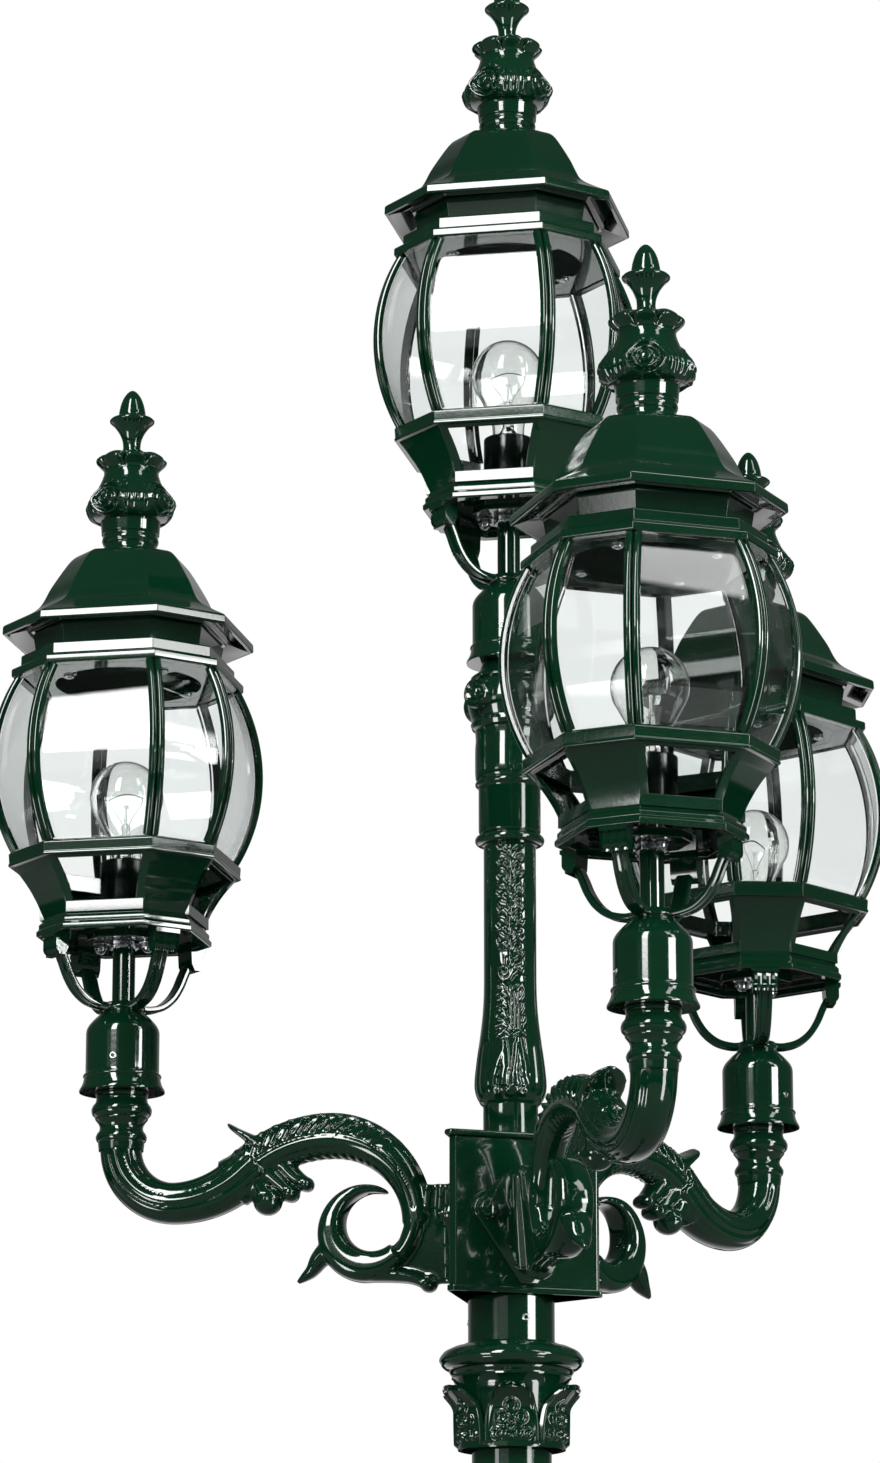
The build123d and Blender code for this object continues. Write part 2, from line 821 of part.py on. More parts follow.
def sheath_arcs(half_size, end_half_size, mode):
    """The two upper arcs of the arm, oval in section, in the part that is being built."""
    with BuildSketch(path_plane(rise_end, (-rise_cos, rise_sin))) as crest_section:
        Ellipse(*half_size)
    revolve(crest_section.sketch, axis=turn_axis(crest_centre, -1), revolution_arc=rise_angle, mode=mode)
    with BuildSketch(path_plane(crest_end, (-1, 0))) as fall_section:
        Ellipse(*half_size)
    with BuildSketch(path_plane(fall_end, (0, -1))) as root_section:
        Ellipse(*end_half_size)
    with BuildLine(Plane.XZ) as fall_path:
        CenterArc(fall_centre, fall_radius, 90, 90)
    sections = [fall_section.sketch, root_section.sketch]
    sweep(sections, path=fall_path.wire(), multisection=True, mode=mode)


def side_plate(half_width, *points):
    """Plate along the arm's upright plane with this outline, in the part that is being built."""
    with BuildSketch(Plane.XZ) as outline:
        Polygon(*points, align=None)
    extrude(outline.sketch, amount=half_width, both=True)


def cross_bar(radius, half_width, place):
    """Round bar across the arm, in the part that is being built."""
    with BuildSketch(Plane.XZ) as outline:
        with Locations(place):
            Circle(radius)
    extrude(outline.sketch, amount=half_width, both=True)


def shifted(start, offset):
    """Point in the arm's upright plane at this offset from a start."""
    return (start[0] + offset[0], start[1] + offset[1])


# Scroll: disc with an offset round hollow, open towards the foot where its tip ends
with BuildPart() as scroll:
    with BuildSketch(Plane.XZ):
        with Locations(shifted(scroll_hollow, scroll_offset)):
            Circle(scroll_radius)
        mouth_corners = [shifted(scroll_hollow, offset) for offset in scroll_mouth]
        Polygon(scroll_hollow, *mouth_corners, align=None, mode=Mode.SUBTRACT)
        with Locations(scroll_hollow):
            Circle(scroll_hollow_radius, mode=Mode.SUBTRACT)
    extrude(amount=scroll_half_width, both=True)

# Arm: spigot, tube, leaf sheath, scroll, leaves, foot and flange, with a way for the lead
bolt_places = [(bolt_offset, -flange_middle_drop), (-bolt_offset, -flange_middle_drop)]
with BuildPart() as arm:
    with BuildSketch(Plane((arm_reach, 0, 0), x_dir=(1, 0, 0), z_dir=(0, -1, 0))):
        with BuildLine():
            Polyline(
                (tube_radius, -moulding_drop),
                (0, -moulding_drop),
                (0, spigot_length),
                (spigot_radius, spigot_length),
                (spigot_radius, -part_gap),
                (spigot_shoulder_radius, -part_gap),
                (spigot_shoulder_radius, -shoulder_drop),
            )
            ThreePointArc(
                (spigot_shoulder_radius, -shoulder_drop),
                (bulge_radius, -shoulder_drop - bulge_belly),
                (waist_radius, -waist_drop),
            )
            ThreePointArc(
                (waist_radius, -waist_drop),
                (bead_radius, -waist_drop - bead_belly),
                (tube_radius, -moulding_drop),
            )
        make_face()
    revolve(axis=Axis((arm_reach, 0, 0), (0, 0, 1)))
    tube_arcs(tube_radius, Mode.ADD)
    crest_half_size = (sheath_half_width, sheath_half_height)
    root_half_size = (sheath_end_half_width, sheath_end_half_height)
    sheath_arcs(crest_half_size, root_half_size, Mode.ADD)
    add(scroll.part)
    foot_bottom = scroll_hollow[1] + scroll_offset[1] - scroll_radius
    with BuildSketch(Plane.XZ) as foot_outline:
        Polygon(
            (flange_face, -foot_top_drop),
            (fall_end[0] - foot_step, -foot_top_drop - foot_step),
            (fall_end[0] + sheath_end_half_height, fall_end[1]),
            (scroll_hollow[0], scroll_hollow[1] - scroll_hollow_radius),
            (scroll_hollow[0] + scroll_offset[0], foot_bottom),
            (flange_face, -foot_bottom_drop),
            align=None,
        )
        with Locations(scroll_hollow):
            Circle(scroll_hollow_radius, mode=Mode.SUBTRACT)
    extrude(foot_outline.sketch, amount=foot_half_width, both=True)
    side_plate(leaf_half_width, *[shifted(rise_end, offset) for offset in rolled_leaf_outline])
    cross_bar(leaf_ball_radius, leaf_ball_half_width, shifted(rise_end, leaf_ball_offset))
    for offset in leaf_curl_offsets:
        cross_bar(leaf_curl_radius, leaf_curl_half_width, shifted(rise_end, offset))
    side_plate(spur_half_width, *[shifted(rise_end, offset) for offset in spur_outline])
    side_plate(tail_half_width, *[shifted(scroll_hollow, offset) for offset in tail_leaf_outline])
    knob_reach = flange_face + foot_reach - foot_knob_radius
    with Locations((knob_reach, 0, -foot_bottom_drop - foot_knob_radius / 2)):
        Sphere(foot_knob_radius)
    with BuildSketch(facing_plane(0, hub_face, -flange_middle_drop)) as flange_outline:
        Polygon(
            (flange_end_half_width, flange_rise),
            (flange_half_width, flange_half_flat),
            (flange_half_width, -flange_half_flat),
            (flange_end_half_width, -flange_fall),
            (-flange_end_half_width, -flange_fall),
            (-flange_half_width, -flange_half_flat),
            (-flange_half_width, flange_half_flat),
            (-flange_end_half_width, flange_rise),
            align=None,
        )
        side_corners = flange_outline.vertices().group_by(Axis.X)
        fillet(side_corners[0] + side_corners[-1], flange_corner_radius)
        with Locations((bolt_offset, 0), (-bolt_offset, 0)):
            Circle(bolt_hole, mode=Mode.SUBTRACT)
    extrude(amount=flange_thickness)
    with BuildSketch(Plane((arm_reach, 0, spigot_length))):
        Circle(cable_radius)
    extrude(amount=-spigot_length - moulding_drop, mode=Mode.SUBTRACT)
    tube_arcs(cable_radius, Mode.SUBTRACT)
    sheath_arcs((cable_radius, cable_radius), (cable_radius, cable_radius), Mode.SUBTRACT)
    with BuildSketch(facing_plane(0, hub_face)):
        with Locations((0, fall_end[1])):
            Circle(cable_radius)
    extrude(amount=fall_end[0] - hub_face, mode=Mode.SUBTRACT)

# Arm bolts: two hexagon bolts in each flange, screwed into the hub's wall
with BuildPart() as arm_bolt_pair:
    with BuildSketch(facing_plane(0, flange_face)):
        with Locations(*bolt_places):
            RegularPolygon(bolt_head_radius, 6)
    extrude(amount=bolt_head_height)
    with BuildSketch(facing_plane(0, flange_face)):
        with Locations(*bolt_places):
            Circle(bolt_radius)
    extrude(amount=-flange_thickness - hub_wall - bolt_tip)
arm_locations = [Location((0, 0, cup_level), (0, 0, angle)) for angle in arm_angles.values()]
with BuildPart() as arm_bolts:
    with Locations(*arm_locations):
        add(arm_bolt_pair.part)


def hub_outline(growth):
    """Triangle of the hub with blunt corners, grown by this much on every side."""
    with BuildSketch(mode=Mode.PRIVATE) as outline:
        RegularPolygon(hub_radius + 2 * growth, 3)
        chamfer(outline.vertices(), hub_corner)
    return outline.sketch


# Hub: triangular box with its floor, and the round socket that takes the post
hub_plain = hub_outline(0)
hub_inside = hub_outline(-hub_wall)
hub_cover = hub_outline(lid_overhang)
lid_level = hub_top_level - lid_thickness
hub_floor_top = hub_bottom_level + hub_floor_thickness
socket_screw_level = cup_level - socket_screw_drop
with BuildPart() as hub_body:
    with BuildSketch(Plane.XY.offset(hub_bottom_level)):
        add(hub_plain)
    extrude(amount=lid_level - hub_bottom_level)
    with BuildSketch(Plane.XY.offset(hub_floor_top)):
        add(hub_inside)
    extrude(amount=lid_level - hub_floor_top, mode=Mode.SUBTRACT)
    round_hole(socket_radius, socket_bottom_level, socket_length, Mode.ADD)
    round_hole(post_bore, socket_bottom_level, socket_length)
    round_hole(hub_cable_hole, hub_bottom_level, hub_floor_thickness)
    with BuildSketch(*[facing_plane(angle) for angle in arm_angles.values()]):
        with Locations((0, cup_level + fall_end[1])):
            Circle(cable_radius)
        with Locations(*[shifted((0, cup_level), place) for place in bolt_places]):
            Circle(bolt_hole)
    extrude(amount=hub_radius, mode=Mode.SUBTRACT)
    with BuildSketch(*[facing_plane(angle) for angle in arm_angles.values()]):
        with Locations((0, socket_screw_level)):
            Circle(grub_hole)
    extrude(amount=hub_radius, mode=Mode.SUBTRACT)

with BuildPart() as hub_lid:
    with BuildSketch(Plane.XY.offset(lid_level)):
        add(hub_cover)
        Circle(inner_tube_bore, mode=Mode.SUBTRACT)
    extrude(amount=lid_thickness)

# Terminal block that joins the leads inside the hub, with two rows of wire ways
with BuildPart() as terminal_block:
    with BuildSketch(Plane.XY.offset(hub_floor_top)):
        with Locations((hub_cable_hole + terminal_width / 2 + terminal_bore, 0)):
            Rectangle(terminal_width, terminal_length)
    extrude(amount=terminal_height)
    with BuildSketch(facing_plane(0, hub_cable_hole)):
        with Locations((0, hub_floor_top + terminal_height / 2)):
            with GridLocations(terminal_length / 3, 1, 3, 1):
                Circle(terminal_bore)
    extrude(amount=terminal_width + 2 * terminal_bore, mode=Mode.SUBTRACT)

# Socket screws: three grub screws that clamp the post
socket_grub_length = socket_radius + grub_stand_out - post_radius - part_gap
with BuildPart() as socket_screws:
    with BuildSketch(*[facing_plane(angle, post_radius + part_gap) for angle in arm_angles.values()]):
        with Locations((0, socket_screw_level)):
            Circle(grub_radius)
    extrude(amount=socket_grub_length)
    with BuildSketch(*[facing_plane(angle, socket_radius + grub_stand_out) for angle in arm_angles.values()]):
        with Locations((0, socket_screw_level)):
            RegularPolygon(grub_key_radius, 6)
    extrude(amount=-grub_key_depth, mode=Mode.SUBTRACT)

# Upper column: plain foot, skirt, tapered shaft, ring, neck and head, round an inner tube
skirt_level = hub_top_level + column_plain_height
skirt_top = skirt_level + column_skirt_height
shaft_level = skirt_top + column_taper_height
column_top_level = top_cup_level - top_collar_drop
column_head_level = column_top_level - column_head_height
column_neck_level = column_head_level - column_neck_height
column_ring_level = column_neck_level - column_ring_height
with BuildPart() as column:
    with BuildSketch(Plane.XZ):
        with BuildLine():
            Polyline(
                (column_waist_radius, shaft_level),
                (column_waist_radius, column_ring_level),
                (column_ring_radius, column_ring_level),
                (column_ring_radius, column_neck_level),
                (column_neck_radius, column_neck_level),
                (column_neck_radius, column_head_level),
                (column_head_radius, column_head_level),
                (column_head_radius, column_top_level),
                (inner_tube_bore, column_top_level),
                (inner_tube_bore, hub_top_level),
                (column_radius, hub_top_level),
                (column_radius, skirt_level),
            )
            RadiusArc((column_radius, skirt_level), (column_skirt_radius, skirt_top), -column_skirt_curve)
            Spline(
                (column_skirt_radius, skirt_top),
                (column_waist_radius, shaft_level),
                tangents=((column_skirt_slope, 1), (0, 1)),
            )
        make_face()
    revolve(axis=Axis.Z)

# Top spigot: collar with rosettes that carries the top lantern
with BuildPart() as top_spigot:
    with BuildSketch(Plane((0, 0, top_cup_level), x_dir=(1, 0, 0), z_dir=(0, -1, 0))):
        with BuildLine():
            Polyline(
                (spigot_shoulder_radius, -shoulder_drop),
                (spigot_shoulder_radius, -part_gap),
                (spigot_radius, -part_gap),
                (spigot_radius, spigot_length),
                (inner_tube_bore, spigot_length),
                (inner_tube_bore, -top_collar_drop),
                (column_head_radius, -top_collar_drop),
            )
            ThreePointArc(
                (column_head_radius, -top_collar_drop),
                (top_collar_radius, -top_boss_drop),
                (spigot_shoulder_radius, -shoulder_drop),
            )
        make_face()
    revolve(axis=Axis.Z)
    boss_planes = [facing_plane(angle + top_boss_turn, spigot_shoulder_radius) for angle in quarter_angles]
    with BuildSketch(*boss_planes):
        with Locations((0, top_cup_level - top_boss_drop)):
            Circle(top_boss_radius)
    extrude(amount=top_boss_reach - spigot_shoulder_radius)

with BuildPart() as column_tube:
    tube_bottom = hub_top_level - inner_tube_tail
    with BuildSketch(Plane.XY.offset(tube_bottom)):
        Circle(inner_tube_radius)
        Circle(inner_tube_radius - inner_tube_wall, mode=Mode.SUBTRACT)
    extrude(amount=top_cup_level + spigot_length - tube_bottom)

# Capital: torus, neck and bell with a ring of leaves whose tips curl outwards
torus_level = socket_bottom_level - capital_torus_height
capital_neck_level = torus_level - capital_neck_height
capital_bottom = capital_neck_level - capital_bell_height
leaf_angles = [capital_leaf_turn + 360.0 / capital_leaves * leaf for leaf in range(capital_leaves)]
with BuildPart() as capital:
    with BuildSketch(Plane.XZ):
        with BuildLine():
            ThreePointArc(
                (capital_neck_radius, torus_level),
                (capital_torus_radius, torus_level + capital_torus_belly),
                (capital_neck_radius, socket_bottom_level),
            )
            Polyline(
                (capital_neck_radius, socket_bottom_level),
                (post_bore, socket_bottom_level),
                (post_bore, capital_bottom),
                (capital_bell_radius, capital_bottom),
                (capital_bell_radius, capital_neck_level),
                (capital_neck_radius, torus_level),
            )
        make_face()
    revolve(axis=Axis.Z)
    with BuildSketch(*[radial_plane(angle) for angle in leaf_angles]):
        with BuildLine():
            leaf_foot = (capital_bell_radius + capital_leaf_thickness / 2, capital_bottom)
            leaf_tip = (capital_leaf_reach, capital_neck_level - capital_leaf_tip_drop)
            leaf_root = capital_bell_radius - capital_leaf_embed
            RadiusArc(leaf_foot, leaf_tip, -capital_bell_height)
            Polyline(
                leaf_tip,
                (capital_leaf_reach - capital_leaf_tip_width, leaf_tip[1] + capital_leaf_tip_height),
                (leaf_root, capital_neck_level - capital_leaf_root_drop),
                (leaf_root, capital_bottom),
                leaf_foot,
            )
        make_face()
    extrude(amount=capital_leaf_width / 2, both=True)

# Post tube from the foot to the hub
with BuildPart() as post_tube:
    with BuildSketch(Plane.XY.offset(boss_ledge)):
        Circle(post_radius)
        Circle(post_radius - post_wall, mode=Mode.SUBTRACT)
    extrude(amount=hub_bottom_level - boss_ledge)

# Shaft ring that closes the casing round the lower post
with BuildPart() as shaft_ring:
    with BuildSketch(Plane.XZ):
        with BuildLine():
            ring_top = ring_level + ring_body_height
            ring_foot = (sleeve_end_radius, ring_level + ring_foot_height)
            ring_belly = (ring_body_radius, ring_level + ring_belly_height)
            ring_shoulder = (ring_collar_radius + ring_shoulder_width, ring_level + ring_shoulder_height)
            ThreePointArc(ring_foot, ring_belly, ring_shoulder)
            Polyline(
                ring_shoulder,
                (ring_collar_radius, ring_top - ring_collar_height),
                (ring_collar_radius, ring_top),
                (post_bore, ring_top),
                (post_bore, ring_level),
                (sleeve_end_radius, ring_level),
                ring_foot,
            )
        make_face()
    revolve(axis=Axis.Z)

# Lower sleeve: fluted casing between the foot and the ring
with BuildPart() as lower_sleeve:
    round_hole(sleeve_radius, pedestal_height, ring_level - pedestal_height, Mode.ADD)
    round_hole(sleeve_end_radius, pedestal_height, sleeve_end_height, Mode.ADD)
    round_hole(sleeve_end_radius, ring_level - sleeve_end_height, sleeve_end_height, Mode.ADD)
    round_hole(post_bore, pedestal_height, ring_level - pedestal_height)
    flute_low = pedestal_height + sleeve_end_height + flute_margin
    flute_high = ring_level - sleeve_end_height - flute_margin
    with BuildSketch(Plane.XY.offset(flute_low)):
        with PolarLocations(sleeve_radius + flute_offset, flute_count):
            Circle(flute_radius)
    extrude(amount=flute_high - flute_low, mode=Mode.SUBTRACT)

# Foot: anchor flange, hollow bell open below, and the boss that takes the post
bell_level = foot_flange_thickness + bell_rise
bead_top = bell_level + pedestal_bead_height
boss_radius = post_bore + boss_wall
with BuildPart() as base_pedestal:
    with BuildSketch(Plane.XZ):
        with BuildLine():
            Polyline(
                (bell_waist_radius, bell_level),
                (pedestal_bead_radius, bell_level + pedestal_bead_slope),
                (pedestal_bead_radius, bead_top - pedestal_bead_slope),
                (pedestal_neck_radius, bead_top),
                (pedestal_neck_radius, pedestal_height),
                (post_bore, pedestal_height),
                (post_bore, bead_top - bell_wall),
                (bell_waist_radius - bell_wall, bell_level - bell_wall),
            )
            Spline(
                (bell_radius - bell_wall, 0),
                (bell_waist_radius - bell_wall, bell_level - bell_wall),
                tangents=((-1, bell_flare), (0, 1)),
            )
            Polyline(
                (bell_radius - bell_wall, 0),
                (foot_flange_radius, 0),
                (foot_flange_radius, foot_flange_thickness),
                (bell_radius, foot_flange_thickness),
            )
            Spline(
                (bell_radius, foot_flange_thickness),
                (bell_waist_radius, bell_level),
                tangents=((-1, bell_flare), (0, 1)),
            )
        make_face()
    revolve(axis=Axis.Z)
    round_hole(boss_radius, 0, bell_level, Mode.ADD)
    with BuildSketch(*[radial_plane(angle) for angle in corner_angles]):
        Polygon(
            (post_bore, 0),
            (bell_radius - bell_wall / 2, 0),
            (bell_radius - bell_wall / 2, foot_flange_thickness),
            (boss_radius, web_height),
            (post_bore, web_height),
            align=None,
        )
    extrude(amount=web_thickness / 2, both=True)
    round_hole(cable_entry_radius, 0, boss_ledge)
    round_hole(post_bore, boss_ledge, pedestal_height - boss_ledge)
    with BuildSketch(Plane.XY):
        with PolarLocations(anchor_circle, anchor_count):
            Circle(anchor_hole_radius)
    extrude(amount=foot_flange_thickness, mode=Mode.SUBTRACT)

# Every piece of a lantern, then the lanterns in their places
lantern_pieces = {
    "bracket": bracket.part,
    "conduit": conduit.part,
    "gallery": gallery.part,
    "cage": cage.part,
    "glass": glass.part,
    "roof": roof.part,
    "finial": finial.part,
    "lampholder": lampholder.part,
    "bulb_cap": bulb_cap.part,
    "bulb_glass": bulb_glass.part,
    "hardware": hardware.part,
}
lantern_places = {"top": Location((0, 0, top_cup_level), (0, 0, arm_angles["left"]))}
for name, angle in arm_angles.items():
    turn = radians(angle)
    lantern_places[name] = Location((arm_reach * cos(turn), arm_reach * sin(turn), cup_level), (0, 0, angle))

for lantern_name, place in lantern_places.items():
    for piece_name, piece in lantern_pieces.items():
        placed = piece.moved(place)
        placed.label = f"{lantern_name}_{piece_name}"
        export_step(placed, f"parts/{placed.label}.step")

for name, angle in arm_angles.items():
    placed = arm.part.moved(Location((0, 0, cup_level), (0, 0, angle)))
    placed.label = f"{name}_arm"
    export_step(placed, f"parts/{placed.label}.step")

post_pieces = {
    "arm_bolts": arm_bolts,
    "hub_body": hub_body,
    "hub_lid": hub_lid,
    "terminal_block": terminal_block,
    "socket_screws": socket_screws,
    "column": column,
    "column_tube": column_tube,
    "top_spigot": top_spigot,
    "capital": capital,
    "post_tube": post_tube,
    "shaft_ring": shaft_ring,
    "lower_sleeve": lower_sleeve,
    "base_pedestal": base_pedestal,
}
for name, piece in post_pieces.items():
    piece.part.label = name
    export_step(piece.part, f"parts/{name}.step")
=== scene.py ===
"""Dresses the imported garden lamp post: castings, glass, lamps, finishes and a plain studio."""

import json
import math

import bmesh
import bpy
import numpy as np
from mathutils import Matrix, Vector


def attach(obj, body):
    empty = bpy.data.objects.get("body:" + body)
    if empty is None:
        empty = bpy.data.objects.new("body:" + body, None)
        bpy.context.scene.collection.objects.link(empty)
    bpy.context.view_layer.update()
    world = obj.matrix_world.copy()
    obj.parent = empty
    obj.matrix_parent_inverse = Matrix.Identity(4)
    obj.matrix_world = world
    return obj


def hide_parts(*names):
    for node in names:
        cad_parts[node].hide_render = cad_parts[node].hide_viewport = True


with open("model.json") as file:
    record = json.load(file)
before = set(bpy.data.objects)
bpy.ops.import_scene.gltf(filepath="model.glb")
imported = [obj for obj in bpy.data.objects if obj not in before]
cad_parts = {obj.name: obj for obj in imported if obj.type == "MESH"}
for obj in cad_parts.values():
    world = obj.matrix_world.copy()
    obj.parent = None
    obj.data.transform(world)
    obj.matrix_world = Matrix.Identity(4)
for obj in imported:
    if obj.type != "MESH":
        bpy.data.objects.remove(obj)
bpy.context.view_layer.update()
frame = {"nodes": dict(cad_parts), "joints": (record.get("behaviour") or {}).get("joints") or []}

bl_info = {
    "name": "Garden Lamp Post",
    "version": (1, 0, 0),
    "blender": (4, 5, 0),
    "location": "View3D > Sidebar > Lamp Post",
    "description": "Builds the visible castings, glass and lamps of a four-lantern garden lamp post",
    "category": "Object",
}

# Shapes are drawn in millimetres and scaled to metres when a mesh is made
MM = 0.001

LANTERNS = ("top", "left", "front", "back")
ARMS = ("left", "front", "back")
QUARTERS = (0.0, 90.0, 180.0, 270.0)
CORNER_TURN = 45.0
# Half angles of a lantern's four wide and four narrow sides, and the turns of its eight corners
WIDE_HALF_ANGLE = 27.6
NARROW_HALF_ANGLE = CORNER_TURN - WIDE_HALF_ANGLE
OCTAGON = np.array([side + half for side in QUARTERS for half in (-WIDE_HALF_ANGLE, WIDE_HALF_ANGLE)])
# Turns of the points of round pieces
ROUND = np.arange(0, 360, 360 / 96)
ROUND_COARSE = np.arange(0, 360, 360 / 40)
ROUND_FINE = np.arange(0, 360, 360 / 192)

joints = {joint["name"]: joint for joint in frame["joints"]}
spots = {name: Vector(joints[f"{name}_swivel"]["pos_m"]) for name in LANTERNS}
headings = {name: math.atan2(spots[name].y, spots[name].x) for name in ARMS}
headings["top"] = headings["left"]
cup_level = spots["left"].z
arm_reach = spots["left"].xy.length
turns = {name: Matrix.Rotation(headings[name], 4, "Z") for name in LANTERNS}
places = {name: Matrix.Translation(spots[name]) @ turns[name] for name in LANTERNS}
arm_places = {name: Matrix.Translation((0, 0, cup_level)) @ turns[name] for name in ARMS}
IN_PLACE = Matrix.Identity(4)


def linear(hex_code):
    """Linear RGBA of an sRGB hex colour."""
    values = [int(hex_code[i:i + 2], 16) / 255 for i in (1, 3, 5)]
    return tuple(v / 12.92 if v <= 0.04045 else ((v + 0.055) / 1.055) ** 2.4 for v in values) + (1.0,)


# Shapes: each one is an array of points and a list of faces


def grid(points, close_rows=False, close_columns=False):
    """Quads over a table of points, closed round either way."""
    rows, columns = points.shape[:2]
    faces = []
    for row in range(rows if close_rows else rows - 1):
        after = (row + 1) % rows
        for column in range(columns if close_columns else columns - 1):
            beside = (column + 1) % columns
            faces.append((row * columns + column, row * columns + beside,
                          after * columns + beside, after * columns + column))
    return points.reshape(-1, 3), faces


def capped(verts, faces, count):
    """The bar with its first and its last ring of points closed."""
    last = len(verts) - count
    return verts, faces + [tuple(reversed(range(count))), tuple(range(last, last + count))]


def polar(radius, turn, height):
    """Points at a radius, a turn about the upright axis and a height."""
    return np.stack(np.broadcast_arrays(radius * np.cos(turn), radius * np.sin(turn), height), axis=-1)


def revolve(profile, angles=ROUND, loop=False, shape=None):
    """Surface of (radius, height) points round the upright axis; a loop makes a ring."""
    line = np.array(profile, float)
    turn = np.radians(angles)
    radius = np.repeat(line[:, :1], len(turn), axis=1)
    height = np.repeat(line[:, 1:], len(turn), axis=1)
    if shape:
        radius, height = shape(radius, height, turn[None, :])
    return grid(polar(radius, turn, height), loop, True)


def sweep(centres, sides, fronts, sections):
    """Closed bar along a path: sections are (side, front) points round each centre."""
    centres, sides, fronts = (np.array(part, float) for part in (centres, sides, fronts))
    sections = np.broadcast_to(np.array(sections, float), (len(centres),) + np.shape(sections)[-2:])
    points = centres[:, None] + sections[..., :1] * sides[:, None] + sections[..., 1:] * fronts[:, None]
    return capped(*grid(points, False, True), points.shape[1])


def join(*shapes):
    """One shape out of several."""
    points = []
    faces = []
    start = 0
    for verts, polygons in shapes:
        points.append(np.array(verts, float))
        faces.extend(tuple(index + start for index in polygon) for polygon in polygons)
        start += len(verts)
    return np.concatenate(points), faces


def moved(shape, offset=(0, 0, 0), turn=0.0, tilt=None):
    """The shape turned about the upright axis, after an optional tilt matrix, then shifted."""
    verts = np.array(shape[0], float)
    if tilt is not None:
        verts = verts @ np.array(tilt).T
    cosine, sine = math.cos(math.radians(turn)), math.sin(math.radians(turn))
    spin = np.array(((cosine, -sine, 0), (sine, cosine, 0), (0, 0, 1)))
    return verts @ spin.T + np.array(offset, float), shape[1]


# Tilt that lays a shape's upright axis along +X
FACING_OUT = ((0, 0, 1), (1, 0, 0), (0, 1, 0))


def arc(centre, radius, start, end, steps):
    """Points of an arc, angles in degrees; a pair of radii makes it elliptical."""
    wide, high = radius if isinstance(radius, tuple) else (radius, radius)
    angles = np.radians(np.linspace(start, end, steps + 1))
    return [(centre[0] + wide * math.cos(a), centre[1] + high * math.sin(a)) for a in angles]


def curve(points, steps):
    """Smooth line through points, which stay on it."""
    line = np.array(points, float)
    padded = np.concatenate((2 * line[:1] - line[1:2], line, 2 * line[-1:] - line[-2:-1]))
    result = []
    for before, start, end, after in zip(padded, padded[1:], padded[2:], padded[3:]):
        for t in np.arange(steps) / steps:
            bend = 2 * before - 5 * start + 4 * end - after
            twist = 3 * start - before - 3 * end + after
            result.append(0.5 * (2 * start + (end - before) * t + bend * t * t + twist * t ** 3))
    result.append(line[-1])
    return [tuple(point) for point in result]


def resampled(profile, step):
    """The line with its points no further apart than a step."""
    line = np.array(profile, float)
    result = [line[0]]
    for start, end in zip(line[:-1], line[1:]):
        count = max(1, math.ceil(np.linalg.norm(end - start) / step))
        result.extend(start + (end - start) * (index + 1) / count for index in range(count))
    return np.array(result)


def step_between(value, low, high):
    """Smooth step from zero at low to one at high."""
    t = np.clip((value - low) / (high - low), 0, 1)
    return t * t * (3 - 2 * t)


def band(value, low, high, soft):
    """One between low and high, zero outside, with soft ends."""
    return step_between(value, low - soft, low + soft) * (1 - step_between(value, high - soft, high + soft))


def ball(radii, centre):
    """Closed ellipsoid."""
    steps = 24
    line = [(math.sin(a), -math.cos(a)) for a in np.linspace(0, math.pi, steps // 2 + 1)]
    verts, faces = revolve(line, np.arange(0, 360, 360 / steps))
    return verts * np.array(radii, float) + np.array(centre, float), faces


def prism(outline, low, high):
    """Upright prism on an outline of (x, y) points."""
    flat = np.array(outline, float)
    rows = np.stack([np.column_stack((flat, np.full(len(flat), level))) for level in (low, high)])
    return capped(*grid(rows, False, True), len(flat))


def hexagon(radius):
    """Corners of a hexagon."""
    return [(radius * math.cos(a), radius * math.sin(a)) for a in np.radians(np.arange(0, 360, 60))]


def both_halves(half):
    """Outline of (x, y) points whose left half mirrors the right one."""
    return half + [(-x, y) for x, y in reversed(half) if x > 0]


# Meshes and pieces


def new_mesh(name, shape):
    """Clean mesh in metres with its faces pointing outwards."""
    mesh = bpy.data.meshes.new(name)
    mesh.from_pydata((np.array(shape[0]) * MM).tolist(), [], [list(face) for face in shape[1]])
    work = bmesh.new()
    work.from_mesh(mesh)
    bmesh.ops.remove_doubles(work, verts=work.verts, dist=2e-6)
    bmesh.ops.dissolve_degenerate(work, edges=work.edges, dist=1e-6)
    bmesh.ops.recalc_face_normals(work, faces=work.faces)
    work.to_mesh(mesh)
    work.free()
    return mesh


def new_object(name, data):
    """New object in the scene, of a mesh, a lamp or a camera."""
    item = bpy.data.objects.new(name, data)
    bpy.context.scene.collection.objects.link(item)
    return item


def baked(item):
    """Plain mesh of an object after its modifiers; the object is taken away."""
    evaluated = item.evaluated_get(bpy.context.evaluated_depsgraph_get())
    mesh = bpy.data.meshes.new_from_object(evaluated)
    bpy.data.objects.remove(item)
    return mesh


def worked(mesh, *modifiers):
    """The mesh after modifiers, given as (type, settings) pairs, are applied to it."""
    item = new_object("worked", mesh)
    for kind, settings in modifiers:
        modifier = item.modifiers.new(kind.title(), kind)
        for name, value in settings.items():
            setattr(modifier, name, value)
    return baked(item)


def softened(shape, width, name="softened", angle=25.0, segments=2):
    """Mesh of a shape with its edges rounded off by a width in millimetres."""
    settings = {"width": width * MM, "segments": segments, "limit_method": "ANGLE",
                "angle_limit": math.radians(angle), "use_clamp_overlap": True, "miter_outer": "MITER_ARC"}
    return worked(new_mesh(name, shape), ("BEVEL", settings))


def softened_shape(shape):
    """Points and faces of a shape with its edges rounded."""
    mesh = softened(shape, 0.5, "soft", 40.0)
    verts = np.array([vert.co for vert in mesh.vertices]) / MM
    return verts, [tuple(face.vertices) for face in mesh.polygons]


def merged(*meshes):
    """One mesh out of several."""
    work = bmesh.new()
    for mesh in meshes:
        work.from_mesh(mesh)
    result = bpy.data.meshes.new("merged")
    work.to_mesh(result)
    work.free()
    return result


